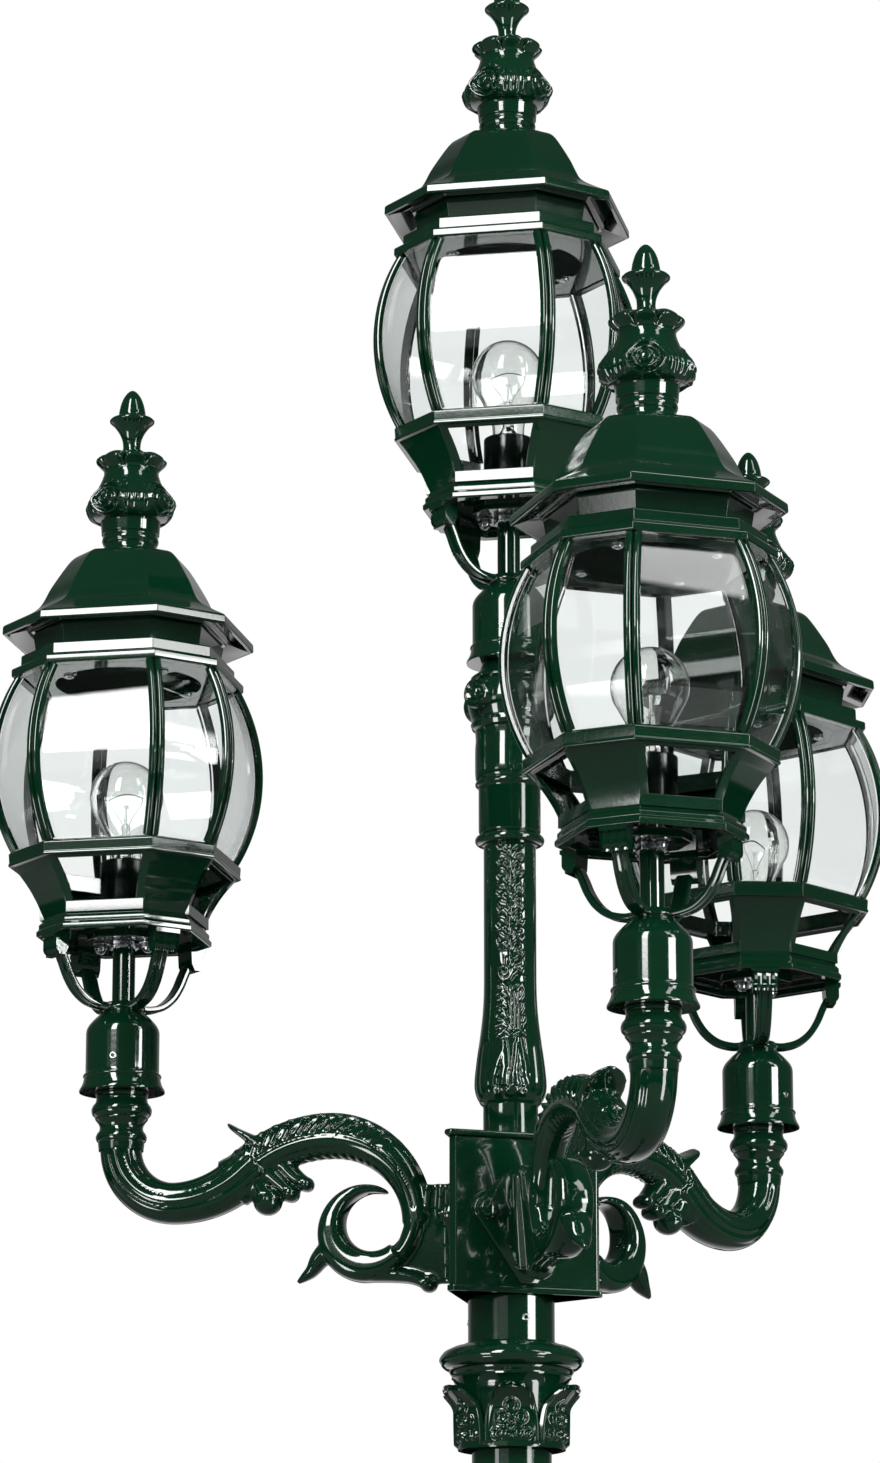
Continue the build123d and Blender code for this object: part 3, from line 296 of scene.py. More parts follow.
def add_node(tree, kind, sockets=None, **settings):
    """Adds a node; sockets maps an input's name or number to a value or to the output that feeds it."""
    node = tree.nodes.new(kind)
    for name, value in settings.items():
        setattr(node, name, value)
    for key, value in (sockets or {}).items():
        if isinstance(value, bpy.types.NodeSocket):
            tree.links.new(value, node.inputs[key])
        else:
            node.inputs[key].default_value = value
    return node


def open_tree(name, inputs, output):
    """New node tree with its named inputs and its output; also gives the node that holds the inputs."""
    tree = bpy.data.node_groups.new(name, "GeometryNodeTree")
    for label, kind in inputs:
        tree.interface.new_socket(label, in_out="INPUT", socket_type=kind)
    tree.interface.new_socket(output, in_out="OUTPUT", socket_type="NodeSocketGeometry")
    return tree, add_node(tree, "NodeGroupInput")


def close_tree(tree, given, shape, output):
    """Makes the tree's shape real, gives it its finish and sends it out."""
    real = add_node(tree, "GeometryNodeRealizeInstances", {"Geometry": shape})
    finish = add_node(tree, "GeometryNodeSetMaterial", {
        "Geometry": real.outputs[0], "Material": given.outputs["Finish"]})
    add_node(tree, "NodeGroupOutput", {output: finish.outputs[0]})


def ring_tree():
    """Node tree that repeats a mesh round the upright axis."""
    name = "Ring of copies"
    if name in bpy.data.node_groups:
        return bpy.data.node_groups[name]
    tree, given = open_tree(name, (
        ("Element", "NodeSocketGeometry"), ("Copies", "NodeSocketInt"),
        ("Start Angle", "NodeSocketFloat"), ("Finish", "NodeSocketMaterial")), "Ring")
    points = add_node(tree, "GeometryNodePoints", {"Count": given.outputs["Copies"]})
    index = add_node(tree, "GeometryNodeInputIndex")
    pitch = add_node(tree, "ShaderNodeMath", {0: math.tau, 1: given.outputs["Copies"]}, operation="DIVIDE")
    step = add_node(tree, "ShaderNodeMath", {
        0: index.outputs[0], 1: pitch.outputs[0], 2: given.outputs["Start Angle"]}, operation="MULTIPLY_ADD")
    spin = add_node(tree, "ShaderNodeCombineXYZ", {"Z": step.outputs[0]})
    copies = add_node(tree, "GeometryNodeInstanceOnPoints", {
        "Points": points.outputs[0], "Instance": given.outputs["Element"], "Rotation": spin.outputs[0]})
    close_tree(tree, given, copies.outputs[0], "Ring")
    return tree


def wire_tree():
    """Node tree that gives the edges of a mesh a round section."""
    name = "Wire along edges"
    if name in bpy.data.node_groups:
        return bpy.data.node_groups[name]
    tree, given = open_tree(name, (
        ("Path", "NodeSocketGeometry"), ("Wire Radius", "NodeSocketFloat"),
        ("Sides", "NodeSocketInt"), ("Finish", "NodeSocketMaterial")), "Wire")
    line = add_node(tree, "GeometryNodeMeshToCurve", {"Mesh": given.outputs["Path"]})
    section = add_node(tree, "GeometryNodeCurvePrimitiveCircle", {
        "Resolution": given.outputs["Sides"], "Radius": given.outputs["Wire Radius"]})
    wire = add_node(tree, "GeometryNodeCurveToMesh", {
        "Curve": line.outputs[0], "Profile Curve": section.outputs[0], "Fill Caps": True})
    close_tree(tree, given, wire.outputs[0], "Wire")
    return tree


def by_tree(mesh, tree, **inputs):
    """Plain mesh that a node tree makes of a mesh, with its inputs set by their labels."""
    item = new_object("by_tree", mesh)
    modifier = item.modifiers.new(tree.name, "NODES")
    modifier.node_group = tree
    for socket in tree.interface.items_tree:
        label = socket.name.lower().replace(" ", "_")
        if socket.in_out == "INPUT" and label in inputs:
            modifier[socket.identifier] = inputs[label]
    return baked(item)


def ring_of_mesh(mesh, copies, finish, start=0.0):
    """Copies of a mesh round the upright axis, made by the ring tree."""
    return by_tree(mesh, ring_tree(), copies=copies, start_angle=math.radians(start), finish=finish)


def add_piece(name, mesh, finish, body, nodes=(), place=IN_PLACE, smooth=35.0, flat=False):
    """Puts a copy of a mesh in the scene with its finish and body, and hides the nodes it stands for."""
    mesh = mesh.copy()
    mesh.transform(place)
    mesh.shade_smooth()
    mesh.set_sharp_from_angle(angle=math.radians(smooth))
    if flat:
        mesh = worked(mesh, ("WEIGHTED_NORMAL", {"mode": "FACE_AREA", "weight": 100, "keep_sharp": True}))
    mesh.name = name
    mesh.materials.clear()
    mesh.materials.append(finish)
    piece = new_object(name, mesh)
    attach(piece, body)
    if nodes:
        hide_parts(*nodes)


def add_to_lanterns(label, mesh, finish, body="lantern", nodes=None, smooth=35.0, flat=False):
    """One copy of a lantern's mesh on each lantern, in place of the node of that name."""
    for name in LANTERNS:
        stands_for = [f"{name}_{node}" for node in ([label] if nodes is None else nodes)]
        add_piece(f"{name}_{label}_look", mesh, finish, f"{name}_{body}", stands_for, places[name],
                  smooth, flat)


# Finishes


# Noise keeps mostly to this span of its values
NOISE_SPAN = {"From Min": 0.25, "From Max": 0.75}


def per_patch(size_mm):
    """Scale of a pattern whose patches are about this many millimetres across."""
    return 1 / (size_mm * MM)


def new_finish(name, settings):
    """Node material, its tree, its shader with these settings, and the coordinates of a piece."""
    finish = bpy.data.materials.new(name)
    finish.use_nodes = True
    tree = finish.node_tree
    tree.nodes.clear()
    shader = add_node(tree, "ShaderNodeBsdfPrincipled", settings)
    add_node(tree, "ShaderNodeOutputMaterial", {"Surface": shader.outputs[0]})
    where = add_node(tree, "ShaderNodeTexCoord").outputs["Object"]
    return finish, tree, shader, where


def textured(tree, shader, sheen, low, high, relief, height_mm, strength):
    """Spreads the shader's roughness from low to high by one noise, and raises its surface by another."""
    rough = add_node(tree, "ShaderNodeMapRange", {
        **NOISE_SPAN, "Value": sheen.outputs["Fac"], "To Min": low, "To Max": high})
    tree.links.new(rough.outputs["Result"], shader.inputs["Roughness"])
    bump = add_node(tree, "ShaderNodeBump", {
        "Height": relief.outputs["Fac"], "Distance": height_mm * MM, "Strength": strength})
    tree.links.new(bump.outputs[0], shader.inputs["Normal"])


def powder_coat(name, dark, light, peel_mm, peel_height_mm):
    """Gloss powder coat, sprayed and baked: a deep colour under a hard skin with a faint orange peel."""
    cloud_mm, haze_mm = 90.0, 14.0
    finish, tree, shader, where = new_finish(name, {
        "IOR": 1.5, "Coat Weight": 0.7, "Coat Roughness": 0.03, "Coat IOR": 1.5})
    cloud = add_node(tree, "ShaderNodeTexNoise", {"Vector": where, "Scale": per_patch(cloud_mm)})
    haze = add_node(tree, "ShaderNodeTexNoise", {"Vector": where, "Scale": per_patch(haze_mm), "Detail": 4.0})
    peel = add_node(tree, "ShaderNodeTexNoise", {"Vector": where, "Scale": per_patch(peel_mm), "Detail": 1.0})
    share = add_node(tree, "ShaderNodeMapRange", {**NOISE_SPAN, "Value": cloud.outputs["Fac"]})
    colour = add_node(tree, "ShaderNodeMix", {
        0: share.outputs["Result"], 6: dark, 7: light}, data_type="RGBA")
    tree.links.new(colour.outputs[2], shader.inputs["Base Color"])
    textured(tree, shader, haze, low=0.07, high=0.11, relief=peel, height_mm=peel_height_mm, strength=0.35)
    return finish


def clear_glass(name, colour, wave_mm, wave_height_mm):
    """Clear drawn glass: no colour seen straight through, a faint wave in its reflections."""
    haze_mm = 30.0
    finish, tree, shader, where = new_finish(name, {
        "Base Color": linear(colour), "Transmission Weight": 1.0, "IOR": 1.5})
    haze = add_node(tree, "ShaderNodeTexNoise", {"Vector": where, "Scale": per_patch(haze_mm), "Detail": 3.0})
    wave = add_node(tree, "ShaderNodeTexNoise", {"Vector": where, "Scale": per_patch(wave_mm), "Detail": 0.0})
    textured(tree, shader, haze, low=0.0, high=0.012, relief=wave, height_mm=wave_height_mm, strength=0.2)
    return finish


def bare_metal(name, dark, light, low, high, streak_mm):
    """Bare metal: rolled or turned, with fine streaks in its sheen."""
    finish, tree, shader, where = new_finish(name, {"Metallic": 1.0})
    streak = add_node(tree, "ShaderNodeTexNoise", {
        "Vector": where, "Scale": per_patch(streak_mm), "Detail": 5.0, "Roughness": 0.65})
    colour = add_node(tree, "ShaderNodeMix", {
        0: streak.outputs["Fac"], 6: linear(dark), 7: linear(light)}, data_type="RGBA")
    tree.links.new(colour.outputs[2], shader.inputs["Base Color"])
    textured(tree, shader, streak, low, high, relief=streak, height_mm=0.02, strength=0.15)
    return finish


def moulded_plastic(name, dark, light, low, high):
    """Moulded thermoset or nylon: an even colour with a fine cast-in texture."""
    cloud_mm, speck_mm = 25.0, 1.2
    finish, tree, shader, where = new_finish(name, {"IOR": 1.52})
    cloud = add_node(tree, "ShaderNodeTexNoise", {"Vector": where, "Scale": per_patch(cloud_mm)})
    speck = add_node(tree, "ShaderNodeTexNoise", {
        "Vector": where, "Scale": per_patch(speck_mm), "Detail": 3.0})
    colour = add_node(tree, "ShaderNodeMix", {
        0: cloud.outputs["Fac"], 6: linear(dark), 7: linear(light)}, data_type="RGBA")
    tree.links.new(colour.outputs[2], shader.inputs["Base Color"])
    textured(tree, shader, speck, low, high, relief=speck, height_mm=0.03, strength=0.25)
    return finish


finishes = {}


def make_finishes(paint):
    """All finishes of the lamp post."""
    dark, light = paint.dark[:], paint.light[:]
    finishes.update(
        green_casting=powder_coat(
            "powder coat on cast aluminium", dark, light, peel_mm=3.0, peel_height_mm=0.05),
        green_iron=powder_coat(
            "powder coat on cast iron", dark, light, peel_mm=4.5, peel_height_mm=0.12),
        green_steel=powder_coat(
            "powder coat on steel tube", dark, light, peel_mm=2.5, peel_height_mm=0.03),
        pane_glass=clear_glass("bent window glass", "#FAFDFC", wave_mm=45.0, wave_height_mm=0.12),
        bulb_glass=clear_glass("blown lamp glass", "#FAFBFA", wave_mm=25.0, wave_height_mm=0.05),
        bulb_cap_metal=bare_metal(
            "rolled aluminium cap", "#B9B9B4", "#DAD9D4", low=0.22, high=0.4, streak_mm=3.0),
        holder_plastic=moulded_plastic("thermoset lampholder", "#061A12", "#0A2419", low=0.16, high=0.26),
        terminal_plastic=moulded_plastic("nylon terminal block", "#D8D5CA", "#E6E3DA", low=0.4, high=0.55),
        bright_steel=bare_metal(
            "turned stainless steel", "#A9ADB0", "#D5D8DA", low=0.14, high=0.3, streak_mm=2.0),
        filament=bare_metal(
            "drawn tungsten wire", "#5E5A55", "#8A847C", low=0.3, high=0.5, streak_mm=1.0),
    )


# Sizes and colours that a user would change


def length_setting(label, words, value_mm):
    """Length property with its default in millimetres."""
    return bpy.props.FloatProperty(
        name=label, description=words, default=value_mm * MM, unit="LENGTH", min=0.0)


def angle_setting(label, words, degrees):
    """Angle property with its default in degrees."""
    return bpy.props.FloatProperty(
        name=label, description=words, default=math.radians(degrees), subtype="ANGLE")


def colour_setting(label, words, hex_code):
    """Colour property with its default as a hex colour."""
    return bpy.props.FloatVectorProperty(
        name=label, description=words, default=linear(hex_code), size=4, subtype="COLOR", min=0.0, max=1.0)


class LampPostLantern(bpy.types.PropertyGroup):
    """Sizes of a lantern."""

    ring_radius: length_setting("Ring Radius", "Corner radius of the cage's rings", 98.0)
    rib_bow: length_setting("Rib Bow", "Corner radius of the ribs at half height", 115.0)
    rim_radius: length_setting("Roof Rim Radius", "Corner radius of the roof's rim", 107.0)
    pane_thickness: length_setting("Pane Thickness", "Thickness of the glass", 3.0)
    cup_radius: length_setting("Cup Radius", "Radius of the socket cup", 30.0)
    bulb_radius: length_setting("Bulb Radius", "Radius of the bulb", 30.0)


class LampPostArm(bpy.types.PropertyGroup):
    """Sizes of an arm."""

    tube_height: length_setting("Tube Height", "Half height of the arm's tube", 16.8)
    tube_width: length_setting("Tube Width", "Half width of the arm's tube", 18.4)
    sheath_height: length_setting("Sheath Height", "Half height of the leaf sheath", 18.6)
    sheath_width: length_setting("Sheath Width", "Half width of the leaf sheath", 16.5)
    grain_size: length_setting("Casting Detail", "Smallest detail of the cast scroll work", 1.15)


class LampPostPaint(bpy.types.PropertyGroup):
    """Colours of the powder coat, which drifts between two shades."""

    dark: colour_setting("Dark Shade", "Darker shade of the powder coat", "#052D1B")
    light: colour_setting("Light Shade", "Lighter shade of the powder coat", "#07351F")


class LampPostStage(bpy.types.PropertyGroup):
    """Camera, light and floor."""

    lens: bpy.props.FloatProperty(
        name="Lens", description="Focal length in millimetres", default=124.6, min=1.0)
    azimuth: angle_setting("Azimuth", "Turn of the camera about the post", 11.52)
    pitch: angle_setting("Pitch", "Upward tilt of the camera", 13.9)
    fill: bpy.props.FloatProperty(
        name="Fill", description="Strength of the even light", default=0.55, min=0.0)
    floor_colour: colour_setting("Floor Colour", "Colour of the floor", "#F4F4F2")


def in_mm(value):
    """Millimetres of a length in metres."""
    return value / MM


# Lantern pieces, drawn about the lantern's axis with height zero at the lower edge of the cup

NECK_TOP = 74.0
CAGE_LEVEL = 195.5
CAGE_TOP = 342.0
BAND_TOP = 381.7
SOFFIT_LEVEL = 382.0
ROOF_TOP = 454.0
RIB_END = 95.0
RIB_DEPTH = 5.0


def cup_shape(radius):
    """Socket cup with a flared foot, a bead, a round shoulder and the neck for the conduit."""
    outside = [(34.8, 0.0), (35.0, 1.2), (34.4, 2.6)]
    outside += curve([(33.4, 4.2), (32.0, 7.6), (radius + 1.2, 11.0)], 4)
    outside += arc((radius + 0.3, 13.2), 1.7, -60, 90, 6)
    outside += [(radius, 15.4), (radius, 17.0), (radius, 47.4), (radius, 49.0)]
    outside += curve([(radius - 0.5, 51.8), (radius - 2.6, 55.6), (22.8, 60.8), (18.6, 64.6)], 5)
    outside += [(17.2, 66.0), (16.6, 67.4)]
    outside += arc((16.4, 69.6), 1.7, -70, 70, 6)
    outside += [(16.4, 71.6), (15.8, 73.4), (15.0, NECK_TOP), (9.45, NECK_TOP), (9.45, 38.0)]
    outside += [(19.06, 38.0), (19.06, 0.0)]
    return revolve(outside, loop=True)


def leg_shape():
    """Strap from the neck out and up to its corbel, with a hollow along its outer face."""
    line = np.array(curve([(13.0, 70.8), (22.0, 70.4), (34.0, 73.6), (44.0, 81.2), (51.0, 91.4),
                           (55.6, 101.8), (59.0, 109.0), (62.0, 113.0)], 5))
    along = np.gradient(line, axis=0)
    along /= np.linalg.norm(along, axis=1)[:, None]
    flat = np.zeros(len(line))
    centres = np.column_stack((line[:, 0], flat, line[:, 1]))
    outward = np.column_stack((along[:, 1], flat, -along[:, 0]))
    across = np.tile((0.0, 1.0, 0.0), (len(line), 1))
    half = [(0.0, 1.6), (2.2, 1.8), (3.6, 3.0), (5.2, 3.0), (6.4, 2.0), (6.6, 0.4), (6.4, -1.6), (5.0, -2.6)]
    return sweep(centres, across, outward, both_halves(half))


def corbel_shape():
    """Fluted block between the leg and the gallery's flange."""
    half_width = 11.0
    flutes = 3
    columns = np.linspace(-half_width, half_width, 49)
    outline = [(57.0, 131.2), (62.0, 131.2), (62.0, 125.0), (71.2, 125.0), (71.2, 121.6), (69.6, 120.8),
               (69.6, 112.2), (68.6, 110.0), (66.9, 108.6), (66.9, 106.6), (61.2, 106.6), (58.4, 112.0)]
    rows = []
    for place in columns:
        wave = abs(math.cos(math.pi * flutes * place / (2 * half_width)))
        flute = 1.7 * math.sqrt(1 - wave) if abs(place) < half_width - 0.3 else 0.0
        ring = []
        for reach, height in outline:
            cut = flute if 107.0 < height < 121.0 and reach > 66.0 else 0.0
            ring.append((reach - cut, place, height))
        rows.append(ring)
    return capped(*grid(np.array(rows), False, True), len(outline))


def gallery_shapes():
    """Floor with its bevelled flange, and the eight hollow panels of the tier with their windows."""
    flange = [(9.5, 134.0), (9.5, 125.0), (30.4, 125.0), (31.0, 125.6), (31.0, 131.0), (61.6, 131.0)]
    flange += [(62.4, 130.2), (62.4, 125.6), (63.0, 125.0), (72.4, 125.0), (73.4, 125.7), (73.6, 126.4)]
    flange += [(73.6, 129.4), (72.4, 130.4), (71.4, 131.8), (71.6, 132.2), (71.6, 134.8), (70.8, 135.8)]
    flange += [(69.0, 137.4), (68.2, 140.4), (63.6, 140.4), (63.6, 134.0)]
    sill, head = 148.0, 180.0
    back, front, half_bar = 57.5, 63.0, 32.4
    sill_bar = [(back, -half_bar), (front, -half_bar), (front, half_bar), (back, half_bar)]
    sills = [moved(prism(sill_bar, 139.2, sill), turn=side) for side in QUARTERS]
    low, pull, high = (67.6, 139.4), (75.5, 163.0), (94.4, 182.6)

    def along(first, middle, last, t):
        return (1 - t) ** 2 * first + 2 * t * (1 - t) * middle + t ** 2 * last

    t = np.linspace(0, 1, 401)
    edges = np.interp((sill, head), along(low[1], pull[1], high[1], t), t)
    t = np.sort(np.concatenate((np.linspace(0, 1, 15), edges)))
    radius = along(low[0], pull[0], high[0], t)
    height = along(low[1], pull[1], high[1], t)
    stile = 6.8
    panels = []
    for side in np.arange(0, 360, 45):
        wide = side % 90 == 0
        half = WIDE_HALF_ANGLE if wide else NARROW_HALF_ANGLE
        reach = radius * math.cos(math.radians(half))
        edge = radius * math.sin(math.radians(half))
        lines = (-edge, stile - edge, edge - stile, edge) if wide else (-edge, edge)
        table = np.stack([np.column_stack((reach, line, height)) for line in lines], axis=1)
        verts, faces = grid(table)
        if wide:
            middle = (height[:-1] + height[1:]) / 2
            columns = len(lines) - 1
            faces = [face for i, face in enumerate(faces)
                     if i % columns != 1 or not sill < middle[i // columns] < head]
        panels.append(moved((verts, faces), turn=side))
    return join(revolve(flange, OCTAGON, True), *sills), join(*panels)


def bow_arc(low, high, rise, steps):
    """Radius and angles of an upright arc between two levels, which bulges by a rise."""
    half = (high - low) / 2
    radius = (half * half + rise * rise) / (2 * rise)
    reach = math.asin(half / radius)
    return radius, np.linspace(-reach, reach, steps)


def rib_shape(bow):
    """Bowed rib with two round mouldings along it, which stands at the corner that faces +X."""
    steps = 36
    low, high = CAGE_LEVEL - 1.0, CAGE_TOP + 1.0
    radius, angles = bow_arc(low, high, bow - RIB_END, steps)
    outward = np.column_stack((np.cos(angles), np.zeros(steps), np.sin(angles)))
    centres = np.array((bow - radius, 0, (low + high) / 2)) + radius * outward
    across = np.tile((0.0, 1.0, 0.0), (steps, 1))
    bead = arc((2.95, -1.9), (2.55, 2.1), 175, 5, 8)
    half = [(0.0, -2.6)] + bead + [(5.8, -2.0), (6.25, -2.4), (6.25, -4.6), (5.8, -RIB_DEPTH)]
    return sweep(centres, across, outward, both_halves(half))


def ring_shapes(radius):
    """Lower ring, and the upper ring with its set-back band, neck and round ceiling opening."""
    lower = [(82.0, 182.0), (radius - 1.6, 182.0), (radius - 0.4, 182.4), (radius, 183.0), (radius, 184.5)]
    lower += [(radius - 0.8, 185.1), (radius - 0.7, 185.5), (radius - 0.15, 192.6), (radius - 0.8, 193.7)]
    lower += [(radius - 2.0, 194.2), (radius - 3.4, 194.6), (radius - 4.2, CAGE_LEVEL), (82.0, CAGE_LEVEL)]
    upper = [(70.0, CAGE_TOP), (radius - 1.8, CAGE_TOP), (radius, 342.6), (radius + 0.6, 343.8)]
    upper += [(radius + 0.6, 348.4), (radius - 0.2, 349.6), (radius - 3.0, 350.6), (92.0, 351.4)]
    upper += [(90.8, 352.4), (90.6, 360.6), (89.8, 361.6), (81.0, 362.2), (78.2, 363.4), (80.9, 379.4)]
    upper += [(79.8, BAND_TOP), (76.0, BAND_TOP), (76.0, 346.0), (70.0, 346.0)]
    return revolve(lower, OCTAGON, True), revolve(upper, OCTAGON, True)


def ceiling_shape():
    """Plate that closes the upper ring round its opening, with four lugs for screws."""
    opening, lug, half_lug, rim = 60.0, 52.0, 6.5, 72.0
    low, high = CAGE_TOP + 0.2, CAGE_TOP + 3.8
    angles = np.arange(0, 360, 2.0)
    gap = (angles - CORNER_TURN) % 90
    across = np.radians(np.where(gap > 45, gap - 90, gap)) * lug
    inner = np.where(np.abs(across) < half_lug, lug, opening)
    corners = ((inner, low), (rim, low), (rim, high), (inner, high))
    rows = [polar(radius, np.radians(angles), level) for radius, level in corners]
    return grid(np.stack(rows), True, True)


def pane_shape(bow, half_angle, thickness):
    """Bowed pane between two ribs, facing +X."""
    steps, gap, side_gap = 44, 0.3, 0.7
    share = math.cos(math.radians(half_angle))
    low, high = CAGE_LEVEL + 0.15, CAGE_TOP - 0.15
    end = (RIB_END - RIB_DEPTH - gap) * share
    rise = (bow - RIB_END) * share
    radius, angles = bow_arc(low, high, rise, steps)
    outer = end + rise - radius + radius * np.cos(angles)
    height = (low + high) / 2 + radius * np.sin(angles)
    edges = []
    for depth, sides in ((0.0, (-1, 1)), (thickness, (1, -1))):
        half = (outer - depth) * math.tan(math.radians(half_angle)) - side_gap
        edges += [np.column_stack((outer - depth, side * half, height)) for side in sides]
    return capped(*grid(np.stack(edges, axis=1), False, True), len(edges))


def roof_shape(rim):
    """Upright fascia with bevelled edges, low brim, and a dome with slanting sides and a round shoulder."""
    outside = [(rim - 3.6, 378.0), (rim - 1.4, 378.0), (rim - 0.4, 378.4), (rim, 379.4), (rim - 0.3, 384.6)]
    outside += [(rim - 1.2, 386.0), (rim - 3.0, 387.0)]
    outside += curve([(96.0, 391.0), (86.0, 396.6), (79.6, 400.8), (75.4, 405.0), (71.8, 411.0),
                      (67.4, 420.0), (60.6, 431.0), (54.6, 440.0), (50.4, 445.6), (46.6, 449.2),
                      (42.0, 451.6), (35.0, 453.0), (25.4, ROOF_TOP)], 3)
    inside = [(4.2, ROOF_TOP), (4.2, 447.0), (40.0, 447.0), (48.0, 440.0), (61.0, 420.0), (66.0, 408.0)]
    inside += [(66.0, SOFFIT_LEVEL), (83.0, SOFFIT_LEVEL), (84.0, 384.4)]
    return revolve(outside + inside, OCTAGON, True)


def finial_shape():
    """Finial: base, bead, collar, urn with rosettes and leaf flutes, flared crown, stem, saucer and acorn."""
    rosette_turn = math.radians(-22.5)
    rosette_level, rosette_reach = 498.0, 18.0
    base = [(0.0, 451.0), (24.4, 451.0), (24.8, ROOF_TOP), (23.6, 456.0), (22.0, 457.2), (21.7, 459.0)]
    base += [(21.7, 462.0), (22.6, 463.0)] + arc((21.8, 466.4), (1.9, 3.1), -60, 60, 6)
    base += [(22.5, 470.0), (22.9, 471.2), (24.1, 471.8), (24.9, 481.4)]
    urn = curve([(25.2, 482.8), (30.4, 484.4), (34.2, 488.2), (36.4, 494.0), (36.2, 498.6), (33.6, 503.2),
                 (29.0, 509.4), (25.4, 517.0), (23.2, 523.0)], 6)
    crown = curve([(22.8, 525.6), (23.6, 528.4), (26.4, 531.6), (29.4, 534.8), (29.6, 536.4), (28.2, 538.0),
                   (24.0, 540.6), (18.0, 541.4), (12.0, 541.2), (9.4, 541.8)], 6)
    stem = curve([(8.6, 543.0), (7.6, 546.4), (7.3, 549.0), (8.0, 554.6), (10.6, 561.0), (14.8, 567.0),
                  (18.4, 570.4), (18.8, 572.0)], 5)
    acorn = curve([(17.4, 573.4), (12.6, 575.0), (11.4, 576.4), (11.0, 579.8), (9.8, 585.6), (7.8, 591.2),
                   (5.0, 595.6), (2.2, 598.2), (0.0, 598.8)], 5)

    def carve(radius, height, turn):
        quarter = (turn - rosette_turn) / (math.pi / 2)
        across = (quarter - np.round(quarter)) * (math.pi / 2) * 36.0
        gap = np.hypot(across, (height - rosette_level) * 1.05)
        belly = band(height, 485.5, 520, 2.5)
        fluted = band(height, 486.5, 508, 3.0)
        rings = np.interp(gap, (0, 3.4, 5.4, 7.2, 8.6, 9.6, 10.8, 12.4, 14.0, 15.2, 16.6, rosette_reach),
                          (2.0, 1.6, -0.6, -1.8, 1.2, 2.2, 1.0, -1.8, 1.4, 2.4, 1.2, 0.0))
        grooves = (1 - np.abs(np.sin((turn - rosette_turn) * 18))) ** 1.4
        flutes = 1.7 * step_between(gap, rosette_reach, 20.0) * grooves
        radius = radius + belly * np.where(gap < rosette_reach, rings, -flutes * fluted)
        lip = np.clip((height - 526.5) / 8, 0, 1) * np.clip((543.0 - height) / 1.5, 0, 1)
        lobes = np.abs(np.cos((turn - rosette_turn) * 4))
        notch = (1 - lobes) ** 3
        outer = np.clip((radius - 17.0) / 6, 0, 1)
        radius = radius - lip * outer * 6.5 * notch
        height = height - lip * outer * (3.4 * notch + 1.2 * (1 - lobes))
        return radius, height

    profile = resampled(base + urn + crown + stem + acorn, 1.0)
    return revolve(profile, np.arange(0, 360, 1.5), False, carve)


def holder_shape():
    """Lampholder sleeve with a rounded lip and a socket."""
    line = [(6.0, 129.0), (20.0, 129.0), (20.35, 129.6), (20.35, 186.0), (20.35, 189.8)]
    line += arc((18.75, 190.4), 1.6, 0, 90, 5) + [(14.6, 192.0), (13.6, 191.2), (13.4, 189.0), (13.4, 166.2)]
    line += [(6.0, 166.2)]
    return revolve(line, ROUND, True)


def bulb_shapes(radius):
    """Glass envelope with its inner wall, and the glass stem that holds the filament."""
    top = 277.0
    middle = top - radius
    neck = [(13.0, 191.6), (13.1, 199.0), (13.9, 206.0), (16.6, 214.6), (21.6, 224.4), (26.8, 234.0)]
    outer = curve(neck, 6)[:-1] + arc((0, middle), radius, -26, 90, 22)
    inner = [(max(r - 0.8, 0.0), z - (0.8 if z > middle else 0.0)) for r, z in outer]
    inner[-1] = (0.0, top - 0.8)
    envelope = revolve(outer + inner[::-1], ROUND, False)
    edge = revolve([(12.2, 191.6), (13.0, 191.6)], ROUND)
    stem = [(0.0, 192.5), (9.6, 192.5), (8.2, 196.0), (5.2, 201.0), (3.6, 208.0), (3.2, 218.0), (3.8, 221.5)]
    stem += [(3.0, 224.0), (1.2, 225.0), (1.0, 238.0), (2.0, 239.2), (1.4, 240.8), (0.0, 241.2)]
    return join(envelope, edge), revolve(stem, ROUND_COARSE)


def filament_paths():
    """Two lead wires and the coiled filament between them."""
    half_span, level, rise, coil_radius = 14.5, 246.0, 4.0, 0.45
    turns, points_per_turn = 34, 8
    lead = [(2.0, 0.0, 222.0), (6.0, 0.0, 231.0), (13.0, 0.0, 240.0), (half_span, 0.0, level)]
    coil = []
    for index, share in enumerate(np.linspace(-1, 1, turns * points_per_turn)):
        twist = math.tau * index / points_per_turn
        middle = level + rise * math.cos(share * math.pi / 2)
        coil.append((half_span * share, coil_radius * math.cos(twist),
                     middle + coil_radius * math.sin(twist)))
    points = []
    edges = []
    for path in (lead, [(-x, y, z) for x, y, z in lead], coil):
        edges.extend((len(points) + i, len(points) + i + 1) for i in range(len(path) - 1))
        points.extend(path)
    mesh = bpy.data.meshes.new("filament")
    mesh.from_pydata((np.array(points) * MM).tolist(), edges, [])
    return mesh


def cap_shape():
    """Screw cap of the bulb with a round thread."""
    line = [(0.0, 166.6), (4.8, 166.6), (5.2, 168.4), (11.6, 169.6)]
    start, end, pitch = 170.2, 190.4, 3.62
    line += [(12.5 + 0.6 * math.sin(math.tau * (z - start) / pitch), z) for z in np.linspace(start, end, 60)]
    line += [(12.9, 191.4), (12.1, 191.9), (0.0, 191.9)]
    return revolve(line, ROUND_COARSE)


def socket_screw(radius, length_mm, key):
    """Grub screw on the z axis with a hexagon socket in its outer end, at height zero."""
    angles = np.arange(0, 360, 15)
    socket = key * math.cos(math.radians(30)) / np.cos(np.radians(angles % 60 - 30))
    rows = [(0.0, -length_mm), (radius, -length_mm), (radius, -0.5), (radius - 0.5, 0.0),
            (socket + 0.15, 0.0), (socket, -0.3), (socket, -2.4), (0.0, -2.9)]
    rings = [polar(reach, np.radians(angles), level) for reach, level in rows]
    return grid(np.stack(rings), False, True)


